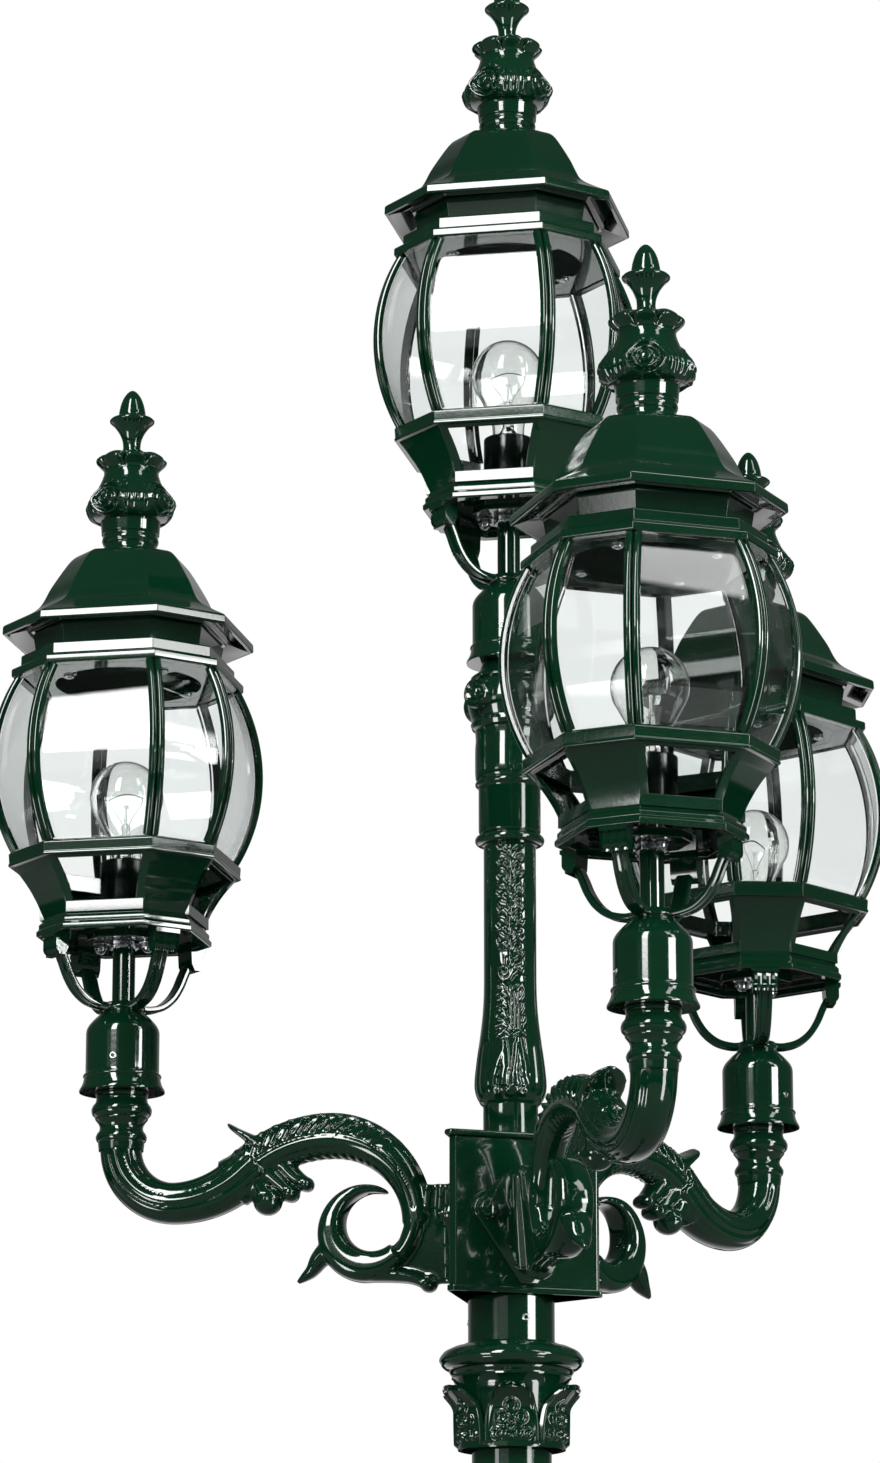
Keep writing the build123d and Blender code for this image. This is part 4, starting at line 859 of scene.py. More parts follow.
def hardware_meshes(cup_radius):
    """Grub screws, cap nuts, lock nut and ceiling screws of a lantern."""
    grub = moved(socket_screw(3.0, 10.5, 1.7), tilt=FACING_OUT)
    grubs = [moved(moved(grub, (cup_radius + 0.7, 0, 26.0)), turn=side) for side in (90.0, 270.0)]
    nut = prism(hexagon(5.8), 120.0, 125.0)
    dome = revolve([(4.7, 120.0)] + arc((0, 120.0), 4.6, 0, -90, 8), ROUND_COARSE)
    nut_reach = 20.0
    nuts = [moved(shape, (nut_reach * side, 0, 0)) for side in (1, -1) for shape in (nut, dome)]
    washer = revolve([(3.0, 123.8), (7.0, 123.8), (7.0, 124.9), (3.0, 124.9)], ROUND_COARSE, True)
    washers = [moved(washer, (nut_reach * side, 0, 0)) for side in (1, -1)]
    rows = []
    for size, level in ((12.5, 119.0), (12.5, 125.0), (9.6, 125.0), (9.6, 119.0)):
        rows.append(np.column_stack((np.array(hexagon(size)), np.full(6, level))))
    lock_nut = grid(np.stack(rows), True, True)
    head = [(0.0, CAGE_TOP), (4.4, CAGE_TOP), (4.4, CAGE_TOP - 0.8)]
    head += arc((0, CAGE_TOP - 0.8), (4.4, 1.8), 0, -70, 6)
    head += [(1.4, CAGE_TOP - 2.4), (1.2, CAGE_TOP - 1.6), (0.0, CAGE_TOP - 1.4)]
    screw = moved(revolve(head, ROUND_COARSE), (56.0, 0, 0))
    screws = ring_of_mesh(new_mesh("ceiling_screw", screw), 4, finishes["bright_steel"], CORNER_TURN)
    crisp = softened(join(*grubs, *nuts, *washers, lock_nut), 0.35, "fasteners", 40.0)
    return merged(crisp, screws)


# Arm, drawn along +X with heights from the lower edge of the lantern's cup

MOULDING_END = -46.0
BEND = (46.0, 90.0)
RISE = (86.0, 43.0)
CREST = (101.6, 43.0)
FALL = (72.0, 90.0)
SCROLL = (112.0, -112.3)
FLANGE_FACE = 44.35
FLANGE_THICKNESS = 6.0
BOLT_LEVEL = -112.0
BOLT_SPREAD = 35.0
PATH_STEP = 1.6


def arm_path():
    """Centres and headings down from the spigot, round the bend, up the rise, over the crest and down."""
    point = np.array((in_mm(arm_reach), MOULDING_END))
    heading = -90.0
    centres = [point.copy()]
    directions = [heading]
    lengths = [0.0]
    for (radius, turn), side in ((BEND, -1), (RISE, -1), (CREST, 1), (FALL, 1)):
        steps = max(4, int(radius * math.radians(turn) / PATH_STEP))
        normal = math.radians(heading + 90 * side)
        centre = point + radius * np.array((math.cos(normal), math.sin(normal)))
        for step in range(1, steps + 1):
            turned = heading + side * turn * step / steps
            back = math.radians(turned - 90 * side)
            point = centre + radius * np.array((math.cos(back), math.sin(back)))
            centres.append(point)
            directions.append(turned)
            lengths.append(lengths[-1] + radius * math.radians(turn) / steps)
        heading += side * turn
    return np.array(centres), np.array(directions), np.array(lengths)


def along_path(centres, directions, sections):
    """Bar along a path in the arm's upright plane; sections are (side, up) points."""
    angle = np.radians(directions)
    places = np.column_stack((centres[:, 0], np.zeros(len(centres)), centres[:, 1]))
    up = np.column_stack((np.sin(angle), np.zeros(len(angle)), -np.cos(angle)))
    side = np.tile((0.0, 1.0, 0.0), (len(angle), 1))
    return sweep(places, side, up, sections)


def tube_sections(lengths, sizes):
    """Round tube with three reeds along each side, which swells a little towards the leaf."""
    phi = np.radians(np.arange(0, 360, 2.5))
    side = np.degrees(np.abs((phi + math.pi) % math.tau - math.pi))
    reed = np.abs(np.sin(np.radians((side - 38) / 104 * 540)))
    groove = band(side, 38, 142, 3) * (1 - reed ** 0.55) * 2.2
    result = []
    for s in lengths:
        swell = 1 + 0.10 * step_between(s, 60, 130)
        fade = step_between(s, 1, 7)
        wide = in_mm(sizes.tube_width) * swell
        high = in_mm(sizes.tube_height) * swell
        shrink = 1 - groove * fade / 17
        result.append(np.column_stack((wide * np.sin(phi) * shrink, high * np.cos(phi) * shrink)))
    return np.array(result)


def sheath_sections(lengths, start, sizes):
    """Oval leaf sheath: a spine on top, slanting leaf veins below it, then smooth bands and grooves."""
    phi = np.radians(np.arange(0, 360, 2.0))
    side = np.degrees(np.abs((phi + math.pi) % math.tau - math.pi))
    result = []
    for s in lengths - start:
        lip = 1 + 0.14 * (1 - step_between(s, 0, 22))
        fall = step_between(s, 84, 200)
        fade = step_between(s, 11, 22) * (1 - step_between(s, 118, 150))
        slant = s / 11.0 + (side - 22) / 56 * 1.3
        vein = (0.5 + 0.5 * np.cos(math.tau * slant)) ** 2.4
        leaf = band(side, 20, 80, 6) * fade
        spine = np.exp(-(side / 9) ** 2) * 1.2
        groove = np.exp(-((side - 90) / 4.5) ** 2) * 2.0 + np.exp(-((side - 128) / 4.0) ** 2) * 1.7
        ripple = (0.5 + 0.5 * np.cos(math.tau * (s / 9 - (side - 130) / 60))) ** 2
        under = band(side, 132, 176, 4) * fade * ripple
        growth = spine + leaf * (5.0 * vein - 2.2) - groove * step_between(s, 6, 20) - 1.5 * under
        wide = in_mm(sizes.sheath_width) * lip * (1 - 0.2 * fall) + growth
        high = in_mm(sizes.sheath_height) * lip * (1 - 0.34 * fall) + growth
        result.append(np.column_stack((wide * np.sin(phi), high * np.cos(phi))))
    return np.array(result)


def horn(points, widths, heights):
    """Tapered bar along points in the arm's upright plane, with half widths and half heights."""
    line = np.array(curve(points, 5))
    heading = np.degrees(np.arctan2(*np.gradient(line, axis=0).T[::-1]))
    t = np.linspace(0, 1, len(line))
    given = np.linspace(0, 1, len(points))
    wide = np.interp(t, given, widths)
    high = np.interp(t, given, heights)
    phi = np.linspace(0, math.tau, 20, endpoint=False)
    sections = [np.column_stack((w * np.sin(phi), h * np.cos(phi))) for w, h in zip(wide, high)]
    return along_path(line, heading, np.array(sections))


def wedge(outline, high, high_half, low, low_half):
    """Flat piece in the arm's upright plane whose half width changes evenly from a high to a low level."""
    verts, faces = prism(outline, -1.0, 1.0)
    half = np.interp(verts[:, 1], (low, high), (low_half, high_half))
    return np.column_stack((verts[:, 0], verts[:, 2] * half, verts[:, 1])), faces


def scroll_shape():
    """Scroll that leaves the foot, runs round below the arm and curls in to a blunt tip, round a hollow."""
    hollow, outer, offset = 23.3, 39.5, np.array((5.5, -8.7))
    angles = np.linspace(-128, 118, 84)
    t = (angles - angles[0]) / (angles[-1] - angles[0])
    turn = np.radians(angles)
    ahead = np.column_stack((np.cos(turn), np.sin(turn)))
    shift = ahead @ offset
    reach = shift + np.sqrt(outer ** 2 - offset @ offset + shift ** 2)
    thick = (reach - hollow) / 2 * np.interp(t, (0, 0.8, 0.92, 0.98, 1.0), (1.0, 1.0, 0.92, 0.62, 0.2))
    wide = np.interp(t, (0, 0.5, 0.75, 0.92, 0.98, 1.0), (15.5, 15.5, 13.5, 9.0, 6.0, 2.0))
    centres = np.array(SCROLL) + (reach + hollow)[:, None] / 2 * ahead
    phi = np.radians(np.arange(0, 360, 4.0))
    across = np.sign(np.sin(phi)) * np.abs(np.sin(phi)) ** 0.72
    above = np.sign(np.cos(phi)) * np.abs(np.cos(phi)) ** 0.72
    sections = [np.column_stack((w * across, h * above)) for w, h in zip(wide, thick)]
    return along_path(centres, angles + 90, np.array(sections))


def arm_casting(sizes):
    """The arm's scroll work as one skin, grown together like a casting."""
    centres, directions, lengths = arm_path()
    start = BEND[0] * math.radians(BEND[1]) + RISE[0] * math.radians(RISE[1]) - 16.0
    tube = lengths < start + 30
    sheath = lengths >= start
    web = [(40, -84), (62, -84), (80, -100), (86, -116), (90, -127), (98, -135), (112, -140), (114, -156),
           (90, -157), (74, -159), (62, -163), (40, -163)]
    parts = [
        along_path(centres[tube], directions[tube], tube_sections(lengths[tube], sizes)),
        along_path(centres[sheath], directions[sheath], sheath_sections(lengths[sheath], start, sizes)),
        scroll_shape(),
        horn([(188, -58), (200, -50), (212, -42.5), (222, -36.5), (229, -31.8), (233, -28.4)],
             (13, 17, 18, 16.5, 11, 3), (9, 6.5, 4.4, 3, 2.2, 1.2)),
        horn([(212, -68), (206, -81), (200, -92)], (14, 13, 12), (13, 11, 9)),
        horn([(200, -68), (188, -79), (181, -86)], (13, 12, 11), (9, 7.5, 6)),
        horn([(188, -62), (176, -74), (168, -79)], (12, 11, 10), (8, 7, 5.5)),
        ball((12.2, 13.5, 12.2), (199, 0, -92)),
        ball((6.0, 15.4, 6.0), (199, 0, -92)),
        ball((7.4, 12.5, 7.4), (180, 0, -87)),
        ball((6.2, 11.0, 6.2), (167, 0, -80)),
        horn([(136, -124), (154, -138.5), (162, -149.5), (168, -154.6), (174, -159)],
             (13, 11.5, 9, 6, 2), (12, 8.2, 5.4, 3.8, 1.6)),
        horn([(76, -104), (79, -122), (88, -138), (102, -147), (120, -151)],
             (13, 13, 13.5, 14, 14.5), (11, 9, 8, 8, 8)),
        horn([(120, -154), (98, -155), (80, -157.4), (67, -163)], (13, 12, 11, 10), (6.5, 6, 5.4, 5)),
        wedge(web, -84.0, 9.5, -163.0, 3.5),
        horn([(66, -84), (67, -104), (70, -128)], (12, 10.5, 5), (7, 6, 2)),
        horn([(55, -84), (56, -104), (58, -132)], (11, 10, 5), (6, 5.5, 2)),
        horn([(45, -84), (45.5, -104), (45.5, -130), (45, -160)], (14.5, 14, 13, 11), (6.5, 6, 6, 6)),
        ball((7.0, 10.5, 7.0), (66.5, 0, -163.0)),
        ball((3.6, 12.0, 3.6), (67.5, 0, -164.0)),
    ]
    return worked(new_mesh("arm_skin", join(*parts)),
                  ("REMESH", {"mode": "VOXEL", "voxel_size": sizes.grain_size, "use_smooth_shade": True}),
                  ("SMOOTH", {"factor": 0.5, "iterations": 6}))


def arm_mouldings():
    """Spigot and the turned mouldings below the cup."""
    line = [(8.0, 34.0), (18.2, 34.0), (19.0, 33.2), (19.0, -0.3), (22.0, -0.3), (22.2, -1.0)]
    line += curve([(21.2, -3.0), (20.8, -6.0), (21.6, -9.0)], 4)
    line += curve([(23.4, -11.0), (24.6, -14.4), (24.0, -18.0), (22.2, -20.2)], 5)
    line += curve([(21.4, -20.8), (21.6, -22.0), (20.4, -23.6)], 3)
    line += curve([(18.6, -26.0), (17.6, -29.0), (18.2, -32.0)], 4)
    line += curve([(19.6, -33.6), (20.8, -36.6), (20.2, -39.6), (18.8, -41.2)], 5)
    line += [(18.8, -42.2), (18.2, -48.0), (8.0, -48.0)]
    return moved(revolve(line, ROUND, True), (in_mm(arm_reach), 0, 0))


def flange_shape():
    """Kite-shaped flange that is bolted to the hub."""
    face, thickness = FLANGE_FACE - FLANGE_THICKNESS, FLANGE_THICKNESS
    half = [(7.0, -58.0)] + arc((BOLT_SPREAD + 1.0, 0.0), 10.0, -54, 54, 8) + [(10.0, 36.0)]
    return moved(prism(both_halves(half), 0.0, thickness), (face, 0, BOLT_LEVEL), tilt=FACING_OUT)


def bolt_shapes():
    """Hexagon bolt with its washer on the flange, on the z axis."""
    head = prism(hexagon(7.4), 1.2, 5.3)
    crown = revolve([(0, 5.8), (5.2, 5.7), (6.4, 5.2), (6.4, 4.6), (0, 4.6)], ROUND_COARSE)
    washer = revolve([(3.0, 0.0), (8.8, 0.0), (8.8, 1.2), (3.0, 1.2)], ROUND_COARSE, True)
    return join(head, crown, washer)


# Post pieces, drawn about the post's axis with heights from the ground

POST_RADIUS = 31.5
POST_BORE = 31.65
HUB_TOP = 1711.0
HUB_BOTTOM = 1583.0
SOCKET_BOTTOM = 1547.0
LID_THICKNESS = 5.0
# Turn of the hub's flat sides, which face between its corners
HUB_SIDE_TURN = 60.0
COLUMN_TOP = 2047.0
PANEL_ANGLE = -79.0
LEAF_TURN = -79.3
BOSS_TURN = 56.5
RING_TOP = 860.0
PEDESTAL_TOP = 250.0


def hub_outline(growth):
    """Triangle with blunt corners, one of which faces +X."""
    radius = 76.7 + 2 * growth
    blunt = 7.0
    corners = [np.array((radius * math.cos(a), radius * math.sin(a))) for a in np.radians((0, 120, 240))]
    outline = []
    for index, corner in enumerate(corners):
        for other in (corners[index - 1], corners[(index + 1) % 3]):
            away = other - corner
            outline.append(corner + away / np.linalg.norm(away) * blunt)
    return outline


def lattice_noise(u, v, wide, high, seed):
    """Smooth random heights between zero and one, with patches of a given width and height in millimetres."""
    table = np.random.default_rng(seed).random((64, 512))
    x, y = u / wide + 32, v / high
    column, row = np.floor(x).astype(int), np.floor(y).astype(int)
    s, t = x - column, y - row
    s, t = s * s * (3 - 2 * s), t * t * (3 - 2 * t)

    def at(right, up):
        return table[(column + right) % 64, (row + up) % 512]

    low = at(0, 0) * (1 - s) + at(1, 0) * s
    high_row = at(0, 1) * (1 - s) + at(1, 1) * s
    return low * (1 - t) + high_row * t


def column_relief(u, v, seed):
    """Height of the cast ornament on an unrolled panel: curls, flutes, a stalk with leaves, and scrolls."""
    strokes = []

    def stroke(points, width, height):
        line = np.array(points, float)
        for start, end in zip(line[:-1], line[1:]):
            strokes.append((start, end, width, height))

    def scroll(x, y, radius, turns, hand, begin, width=1.3):
        angles = np.linspace(0, turns * math.tau, int(turns * 14) + 1)
        shrink = radius * (1 - 0.8 * angles / angles[-1])
        stroke([(x + r * math.cos(begin + hand * a), y + r * math.sin(begin + hand * a))
                for a, r in zip(angles, shrink)], width, 2.2)

    for x, hand in ((-8.0, 1), (0.0, -1), (8.0, 1)):
        scroll(x, 6.0, 3.6, 1.2, hand, math.pi / 2)
    for x, lean, top in ((-9.0, 2.5, 38.0), (-3.4, -2.0, 47.0), (2.4, 2.5, 44.0), (8.4, -1.5, 48.0)):
        stroke([(x * 1.2, 12.0), (x, 24.0), (x * 0.9 + lean, top)], 2.0, 2.3)
    stroke([(-9.0, 51.0), (-4.0, 55.0), (1.0, 51.5), (6.0, 55.0), (12.0, 51.0)], 1.6, 2.2)
    for x in (0.2, 3.2, 6.2):
        stroke([(x - 0.5, 56.0), (x, 72.0), (x - 1.0, 91.0)], 1.2, 2.0)
    for y in (58.0, 66.5, 75.0, 83.5):
        stroke([(-2.4, y), (-6.0, y + 3.0), (-10.5, y + 1.5)], 1.7, 2.2)
        stroke([(-2.8, y + 2.5), (-6.0, y + 6.5), (-9.8, y + 6.5)], 1.3, 1.9)
    for y in (59.0, 70.0, 81.0):
        stroke([(8.2, y), (10.4, y + 3.6), (11.8, y + 8.0)], 1.6, 2.1)
    for hand in (1, -1):
        stroke([(1.5 + hand * 2.5, 89.0), (1.5 + hand * 7.0, 94.0), (hand * 11.5, 91.0)], 1.8, 2.2)
    scroll(-4.4, 104.0, 7.0, 1.5, -1, 0.2, 1.6)
    for y in np.arange(98.0, 205.0, 13.0):
        stroke([(0.0, y), (0.9, y + 6.5), (0.0, y + 13.0)], 1.4, 2.1)
        for hand in (1, -1):
            if hand < 0 and y < 112:
                continue
            lift = y + (4.0 if hand > 0 else 0.0)
            stroke([(hand * 1.5, lift), (hand * 5.0, lift + 3.0), (hand * 9.4, lift + 2.0),
                    (hand * 11.2, lift + 5.0)], 1.8, 2.3)
            stroke([(hand * 1.6, lift + 4.0), (hand * 4.2, lift + 8.6), (hand * 8.0, lift + 9.6)], 1.6, 2.0)
    relief = np.zeros_like(u)
    bend = (lattice_noise(u, v, 6.0, 9.0, seed) - 0.5) * 1.8
    lift = (lattice_noise(u, v, 5.0, 7.0, seed + 1) - 0.5) * 2.2
    for start, end, width, height in strokes:
        line = end - start
        right, up = u + bend - start[0], v + lift - start[1]
        t = np.clip((right * line[0] + up * line[1]) / float(line @ line), 0, 1)
        gap = np.hypot(right - t * line[0], up - t * line[1])
        relief = np.maximum(relief, height * np.clip(1 - (gap / width / 1.4) ** 2, 0, 1) ** 0.8)
    crumple = 1 - np.abs(2 * lattice_noise(u, v, 3.2, 4.8, seed + 2) - 1)
    edge = 12.6 + 2.2 * (lattice_noise(u * 0, v, 4.0, 7.0, seed + 3) - 0.5)
    return (relief + 0.25 * crumple ** 2) * (1 - step_between(np.abs(u), edge - 1.4, edge))


def column_mesh():
    """Column skin with its ornament raised on it in two panels, and the turned rings and drum above."""
    foot = [(17.0, HUB_TOP), (22.0, HUB_TOP), (22.0, 1737.0), (23.0, 1738.4)]
    skirt = curve([(24.6, 1740.0), (27.6, 1746.0), (29.0, 1753.0), (28.7, 1762.0), (26.8, 1778.0),
                   (24.2, 1796.0), (22.4, 1812.0), (21.5, 1826.0), (21.2, 1840.0)], 8)
    line = np.array(skirt + [(21.2, 1950.0)])
    heights = np.linspace(line[0, 1], line[-1, 1], 270)
    radii = np.interp(heights, line[:, 1], line[:, 0])
    turn = np.radians(np.arange(0, 360, 1.25))
    angle = np.degrees(turn)[None, :] - PANEL_ANGLE
    across = np.radians(angle - np.round(angle / 180) * 180) * 21.6
    up = (heights - heights[0])[:, None]
    u, v = np.broadcast_arrays(across, up)
    relief = column_relief(u, v, 7) * band(heights, heights[0] + 2, heights[-1] - 1, 1.5)[:, None]
    leaf = band(v, 4, 46, 6) * np.abs(np.sin(12 * turn)) * (np.abs(u) > 12)
    radius = radii[:, None] + relief * 0.95 - 0.8 * leaf * step_between(np.abs(u), 12.0, 14.0)
    skin = grid(polar(radius, turn, heights[:, None]), False, True)
    round_angles = np.degrees(turn)
    below = revolve(foot + [(line[0, 0], line[0, 1])], round_angles)
    above = [(21.2, 1950.0), (22.6, 1950.6), (22.8, 1952.0)]
    above += arc((24.2, 1955.6), 4.0, -70, 70, 8) + [(23.6, 1960.4), (24.6, 1961.4)]
    above += [(25.2, 1963.0), (25.2, 1998.0), (25.8, 1999.4)]
    above += arc((25.4, 2002.4), 2.6, -70, 70, 6) + [(26.8, 2005.6), (27.6, 2007.0)]
    above += curve([(28.0, 2012.0), (28.0, 2030.0), (27.4, 2040.0)], 5)
    above += [(28.0, COLUMN_TOP), (17.0, COLUMN_TOP)]
    bore = revolve([(17.0, HUB_TOP), (17.0, COLUMN_TOP)], round_angles)
    return new_mesh("column", join(skin, below, revolve(above, round_angles), bore))


def collar_shapes():
    """Rosette collar and spigot of the top lantern."""
    top = in_mm(spots["top"].z)
    line = [(17.0, COLUMN_TOP - top), (28.0, COLUMN_TOP - top), (30.4, -55.4)]
    line += curve([(31.6, -52.0), (30.6, -48.4), (31.6, -45.0), (33.6, -38.0), (34.0, -30.0), (32.4, -22.0),
                   (29.4, -16.4)], 5)
    line += curve([(30.8, -14.8), (31.4, -12.8), (29.8, -11.2)], 3)
    line += curve([(26.4, -9.0), (24.2, -6.0), (23.2, -3.0)], 4) + [(22.2, -0.4), (19.0, -0.3), (19.0, 33.2)]
    line += [(18.4, 34.0), (17.0, 34.0)]
    body = moved(revolve(line, ROUND, True), (0, 0, top))
    disc = [(0.0, 3.0), (3.0, 2.6), (4.6, 1.2), (5.4, 0.2), (6.4, 1.0), (7.8, 1.9), (9.2, 1.4), (10.0, 0.0),
            (10.8, 0.6), (11.8, 0.8), (12.6, -0.8), (12.6, -16.0), (0.0, -16.0)]
    boss = moved(revolve(disc, ROUND_COARSE, True), tilt=FACING_OUT)
    bosses = [moved(moved(boss, (40.0, 0, top - 31.0)), turn=side + BOSS_TURN) for side in QUARTERS]
    return body, join(*bosses)


def capital_body():
    """Capital: torus with fine rings, hollow neck and bell."""
    line = [(POST_BORE, SOCKET_BOTTOM), (38.0, SOCKET_BOTTOM), (39.0, 1545.6)]
    line += curve([(46.0, 1544.6), (53.2, 1541.0), (56.8, 1536.4), (57.4, 1534.0)], 5)
    line += [(56.4, 1532.6), (56.0, 1531.6)]
    line += curve([(55.4, 1529.8), (52.6, 1527.4), (49.6, 1526.2)], 4) + [(49.4, 1525.0)]
    line += curve([(48.4, 1523.4), (47.4, 1521.6), (47.6, 1519.8)], 3) + [(46.4, 1518.8)]
    line += curve([(44.0, 1514.0), (42.6, 1506.0), (41.6, 1490.0), (41.4, 1474.0), (41.6, 1465.4)], 6)
    line += [(41.0, 1463.2), (POST_BORE, 1463.2)]
    return revolve(line, ROUND, True)


def capital_leaf():
    """One leaf of the capital, facing +X: a blade with raised rims and curls, whose tip bends outwards."""
    rows, columns = 86, 57
    t = np.linspace(0, 1, rows)[:, None]
    s = np.linspace(-1, 1, columns)[None, :]
    low, high = 1463.6, 1513.0
    half_angle = np.radians(30.0) * np.clip(1 - t ** 2.8, 0, 1) ** 0.55 + 0.012
    curl = 12.0 * step_between(t, 0.55, 1.0) ** 1.5
    radius = 42.6 + 1.4 * t + curl
    height = low + (high - low) * t - 3.0 * step_between(t, 0.9, 1.0)
    rim = np.exp(-((np.abs(s) - 0.87) / 0.1) ** 2)
    across, along = np.abs(s) * half_angle * 43.0, t * (high - low)
    curl_rings = ((0.0, 31.0, 4.6), (7.0, 22.0, 4.2), (5.4, 10.5, 3.8), (12.6, 9.5, 3.2), (0.0, 19.0, 2.6))
    curls = np.zeros_like(across)
    for x, y, size in curl_rings:
        curls = np.maximum(curls, np.exp(-((np.hypot(across - x, along - y) - size) / 1.2) ** 2))
    rib = np.exp(-(s / 0.09) ** 2) * step_between(t, 0.62, 0.74)
    radius = radius + 3.2 * rim * step_between(t, 0.02, 0.1) + 1.5 * rib + 2.2 * curls * (np.abs(s) < 0.76)
    return grid(polar(radius, half_angle * s, height))


def sleeve_shape():
    """Fluted casing of the lower post."""
    line = [(POST_BORE, PEDESTAL_TOP), (49.2, PEDESTAL_TOP), (50.0, 251.0), (50.0, 262.0), (48.6, 264.0)]
    line += arc((47.6, 270.0), 3.4, -80, 80, 6) + [(46.0, 275.6), (45.0, 277.0)]
    line += [(45.0, z) for z in np.linspace(286, 764, 60)]
    line += [(45.0, 773.0), (46.0, 774.4)] + arc((47.6, 780.0), 3.4, -80, 80, 6)
    line += [(48.6, 786.0), (50.0, 788.0), (50.0, 799.0), (49.2, 800.0), (POST_BORE, 800.0)]

    def flute(radius, height, turn):
        reach = band(height, 292, 758, 6) * (radius > 44)
        return radius - reach * 3.2 * np.abs(np.cos(turn * 6)) ** 0.8, height

    return revolve(line, ROUND_FINE, True, flute)


def shaft_ring_shape():
    """Moulded ring on top of the casing."""
    line = [(POST_BORE, 800.0), (49.4, 800.0), (50.0, 800.8), (50.0, 808.0)]
    line += curve([(50.6, 810.0), (52.0, 816.0), (51.6, 823.0), (48.0, 829.6), (43.4, 833.2)], 5)
    line += [(43.0, 835.0), (41.6, 836.4)] + curve([(39.4, 838.6), (37.6, 842.0), (37.0, 846.0)], 4)
    line += arc((36.6, 853.0), 2.4, -70, 70, 6) + [(36.4, 857.6), (35.6, RING_TOP), (POST_BORE, RING_TOP)]
    return revolve(line, ROUND, True)


def pedestal_shape():
    """Foot: anchor flange, bell with a leaf-like roll, bead and neck; open below."""
    line = [(118.0, 0.0), (184.0, 0.0), (185.0, 1.0), (185.0, 11.0), (183.6, 13.2), (181.0, 14.0)]
    line += [(134.0, 14.0), (131.0, 15.0)]
    line += curve([(128.0, 18.0), (117.0, 28.0), (100.0, 50.0), (85.0, 80.0), (74.0, 116.0), (68.4, 150.0),
                   (66.4, 172.0)], 8)
    line += [(66.0, 178.0), (68.4, 180.6)]
    line += curve([(72.6, 182.6), (77.2, 187.0), (78.0, 193.0), (76.4, 199.0), (71.0, 203.4)], 5)
    line += [(66.0, 205.0)] + curve([(60.0, 209.0), (56.8, 216.0), (56.0, 226.0)], 4)
    line += [(56.0, 240.0), (54.6, 242.4), (54.6, 248.8), (53.4, PEDESTAL_TOP), (POST_BORE, PEDESTAL_TOP)]
    line += [(POST_BORE, 12.0), (38.0, 12.0), (38.0, 150.0), (58.0, 160.0), (70.0, 100.0), (95.0, 40.0)]
    return revolve(line, ROUND, True)


# Stage, in metres; directions are degrees seen from the post, and sides count rightwards from the camera

CAMERA_SPOT = (0.7451, -3.9390, 1.0554)
SENSOR_WIDTH_MM = 36.0
FLOOR_REACH = 6.0
FLOOR_FADE = {"From Min": 0.9, "From Max": 4.2}
LAMP_AIM = (0.0, 0.0, 1.9)
LAMP_DISTANCE = 4.0
LAMP_SIZE = 1.8
# Lamps by name, with their side in degrees, rise in radians and power
LAMPS = (("key lamp", 48, 0.35, 90.0), ("fill lamp", -50, 0.45, 60.0), ("back lamp", 150, 0.6, 50.0))
# Wall behind the post as gloss mirrors it, brightest straight behind
BACKDROP = {"From Min": -0.6, "From Max": -0.98, "To Min": 0.16, "To Max": 0.95}
# Dark strip along the foot of the wall, a dark curtain below it (its sides are sines), the dimmer wall above
HORIZON = (-12.9, -3.0)
CURTAIN_HEIGHTS = (-17.6, -11.0)
CURTAIN_SIDES = (0.012, 0.072)
CURTAIN_SIDE_EDGE = 0.006
WALL_EDGE = 0.4
WALL_TOP = (-3.4, -2.6)
WALL_ABOVE = 0.3
# Soft boxes that gloss mirrors: lower and upper side, lower and upper height, strength
SOFT_BOXES = (
    (43.8, 66.0, 6.5, 14.5, 17.0),
    (45.0, 58.0, -32.0, 6.0, 9.0),
    (56.0, 66.0, 14.0, 32.0, 9.0),
    (44.0, 58.0, 32.0, 56.0, 5.0),
    (-33.0, -17.0, 11.1, 58.0, 16.0),
    (-46.0, -10.0, 0.0, 11.0, 0.35),
    (-50.0, -39.0, -1.0, 6.4, 4.0),
    (-52.0, -37.0, -33.0, -15.0, 10.0),
)
BOX_EDGE = 0.8


def add_floor(settings):
    """Plain pale floor, which fades to the white of the backdrop away from the post."""
    mesh = bpy.data.meshes.new("floor")
    corners = [(x * FLOOR_REACH, y * FLOOR_REACH, 0) for x, y in ((-1, -1), (1, -1), (1, 1), (-1, 1))]
    mesh.from_pydata(corners, [], [(0, 1, 2, 3)])
    cloud_mm = 400.0
    finish, tree, shader, where = new_finish("pale floor", {"Roughness": 0.7})
    cloud = add_node(tree, "ShaderNodeTexNoise", {"Vector": where, "Scale": per_patch(cloud_mm)})
    share = add_node(tree, "ShaderNodeMapRange", {**NOISE_SPAN, "Value": cloud.outputs["Fac"]})
    colour = add_node(tree, "ShaderNodeMix", {
        0: share.outputs["Result"], 6: settings.floor_colour, 7: linear("#EFEFED")}, data_type="RGBA")
    tree.links.new(colour.outputs[2], shader.inputs["Base Color"])
    path = add_node(tree, "ShaderNodeLightPath")
    away = add_node(tree, "ShaderNodeVectorMath", {0: where}, operation="LENGTH")
    fade = add_node(tree, "ShaderNodeMapRange", {**FLOOR_FADE, "Value": away.outputs["Value"]},
                    interpolation_type="SMOOTHSTEP")
    looked = add_node(tree, "ShaderNodeMath", {
        0: path.outputs["Is Camera Ray"], 1: path.outputs["Is Transmission Ray"]}, operation="MAXIMUM")
    part = add_node(tree, "ShaderNodeMath", {0: fade.outputs[0], 1: looked.outputs[0]}, operation="MULTIPLY")
    white = add_node(tree, "ShaderNodeEmission", {"Color": (1, 1, 1, 1), "Strength": 1.0})
    both = add_node(tree, "ShaderNodeMixShader", {
        0: part.outputs[0], 1: shader.outputs[0], 2: white.outputs[0]})
    tree.links.new(both.outputs[0], tree.nodes["Material Output"].inputs["Surface"])
    mesh.materials.append(finish)
    floor = new_object("floor", mesh)
    floor.visible_diffuse = False
    floor.visible_glossy = False


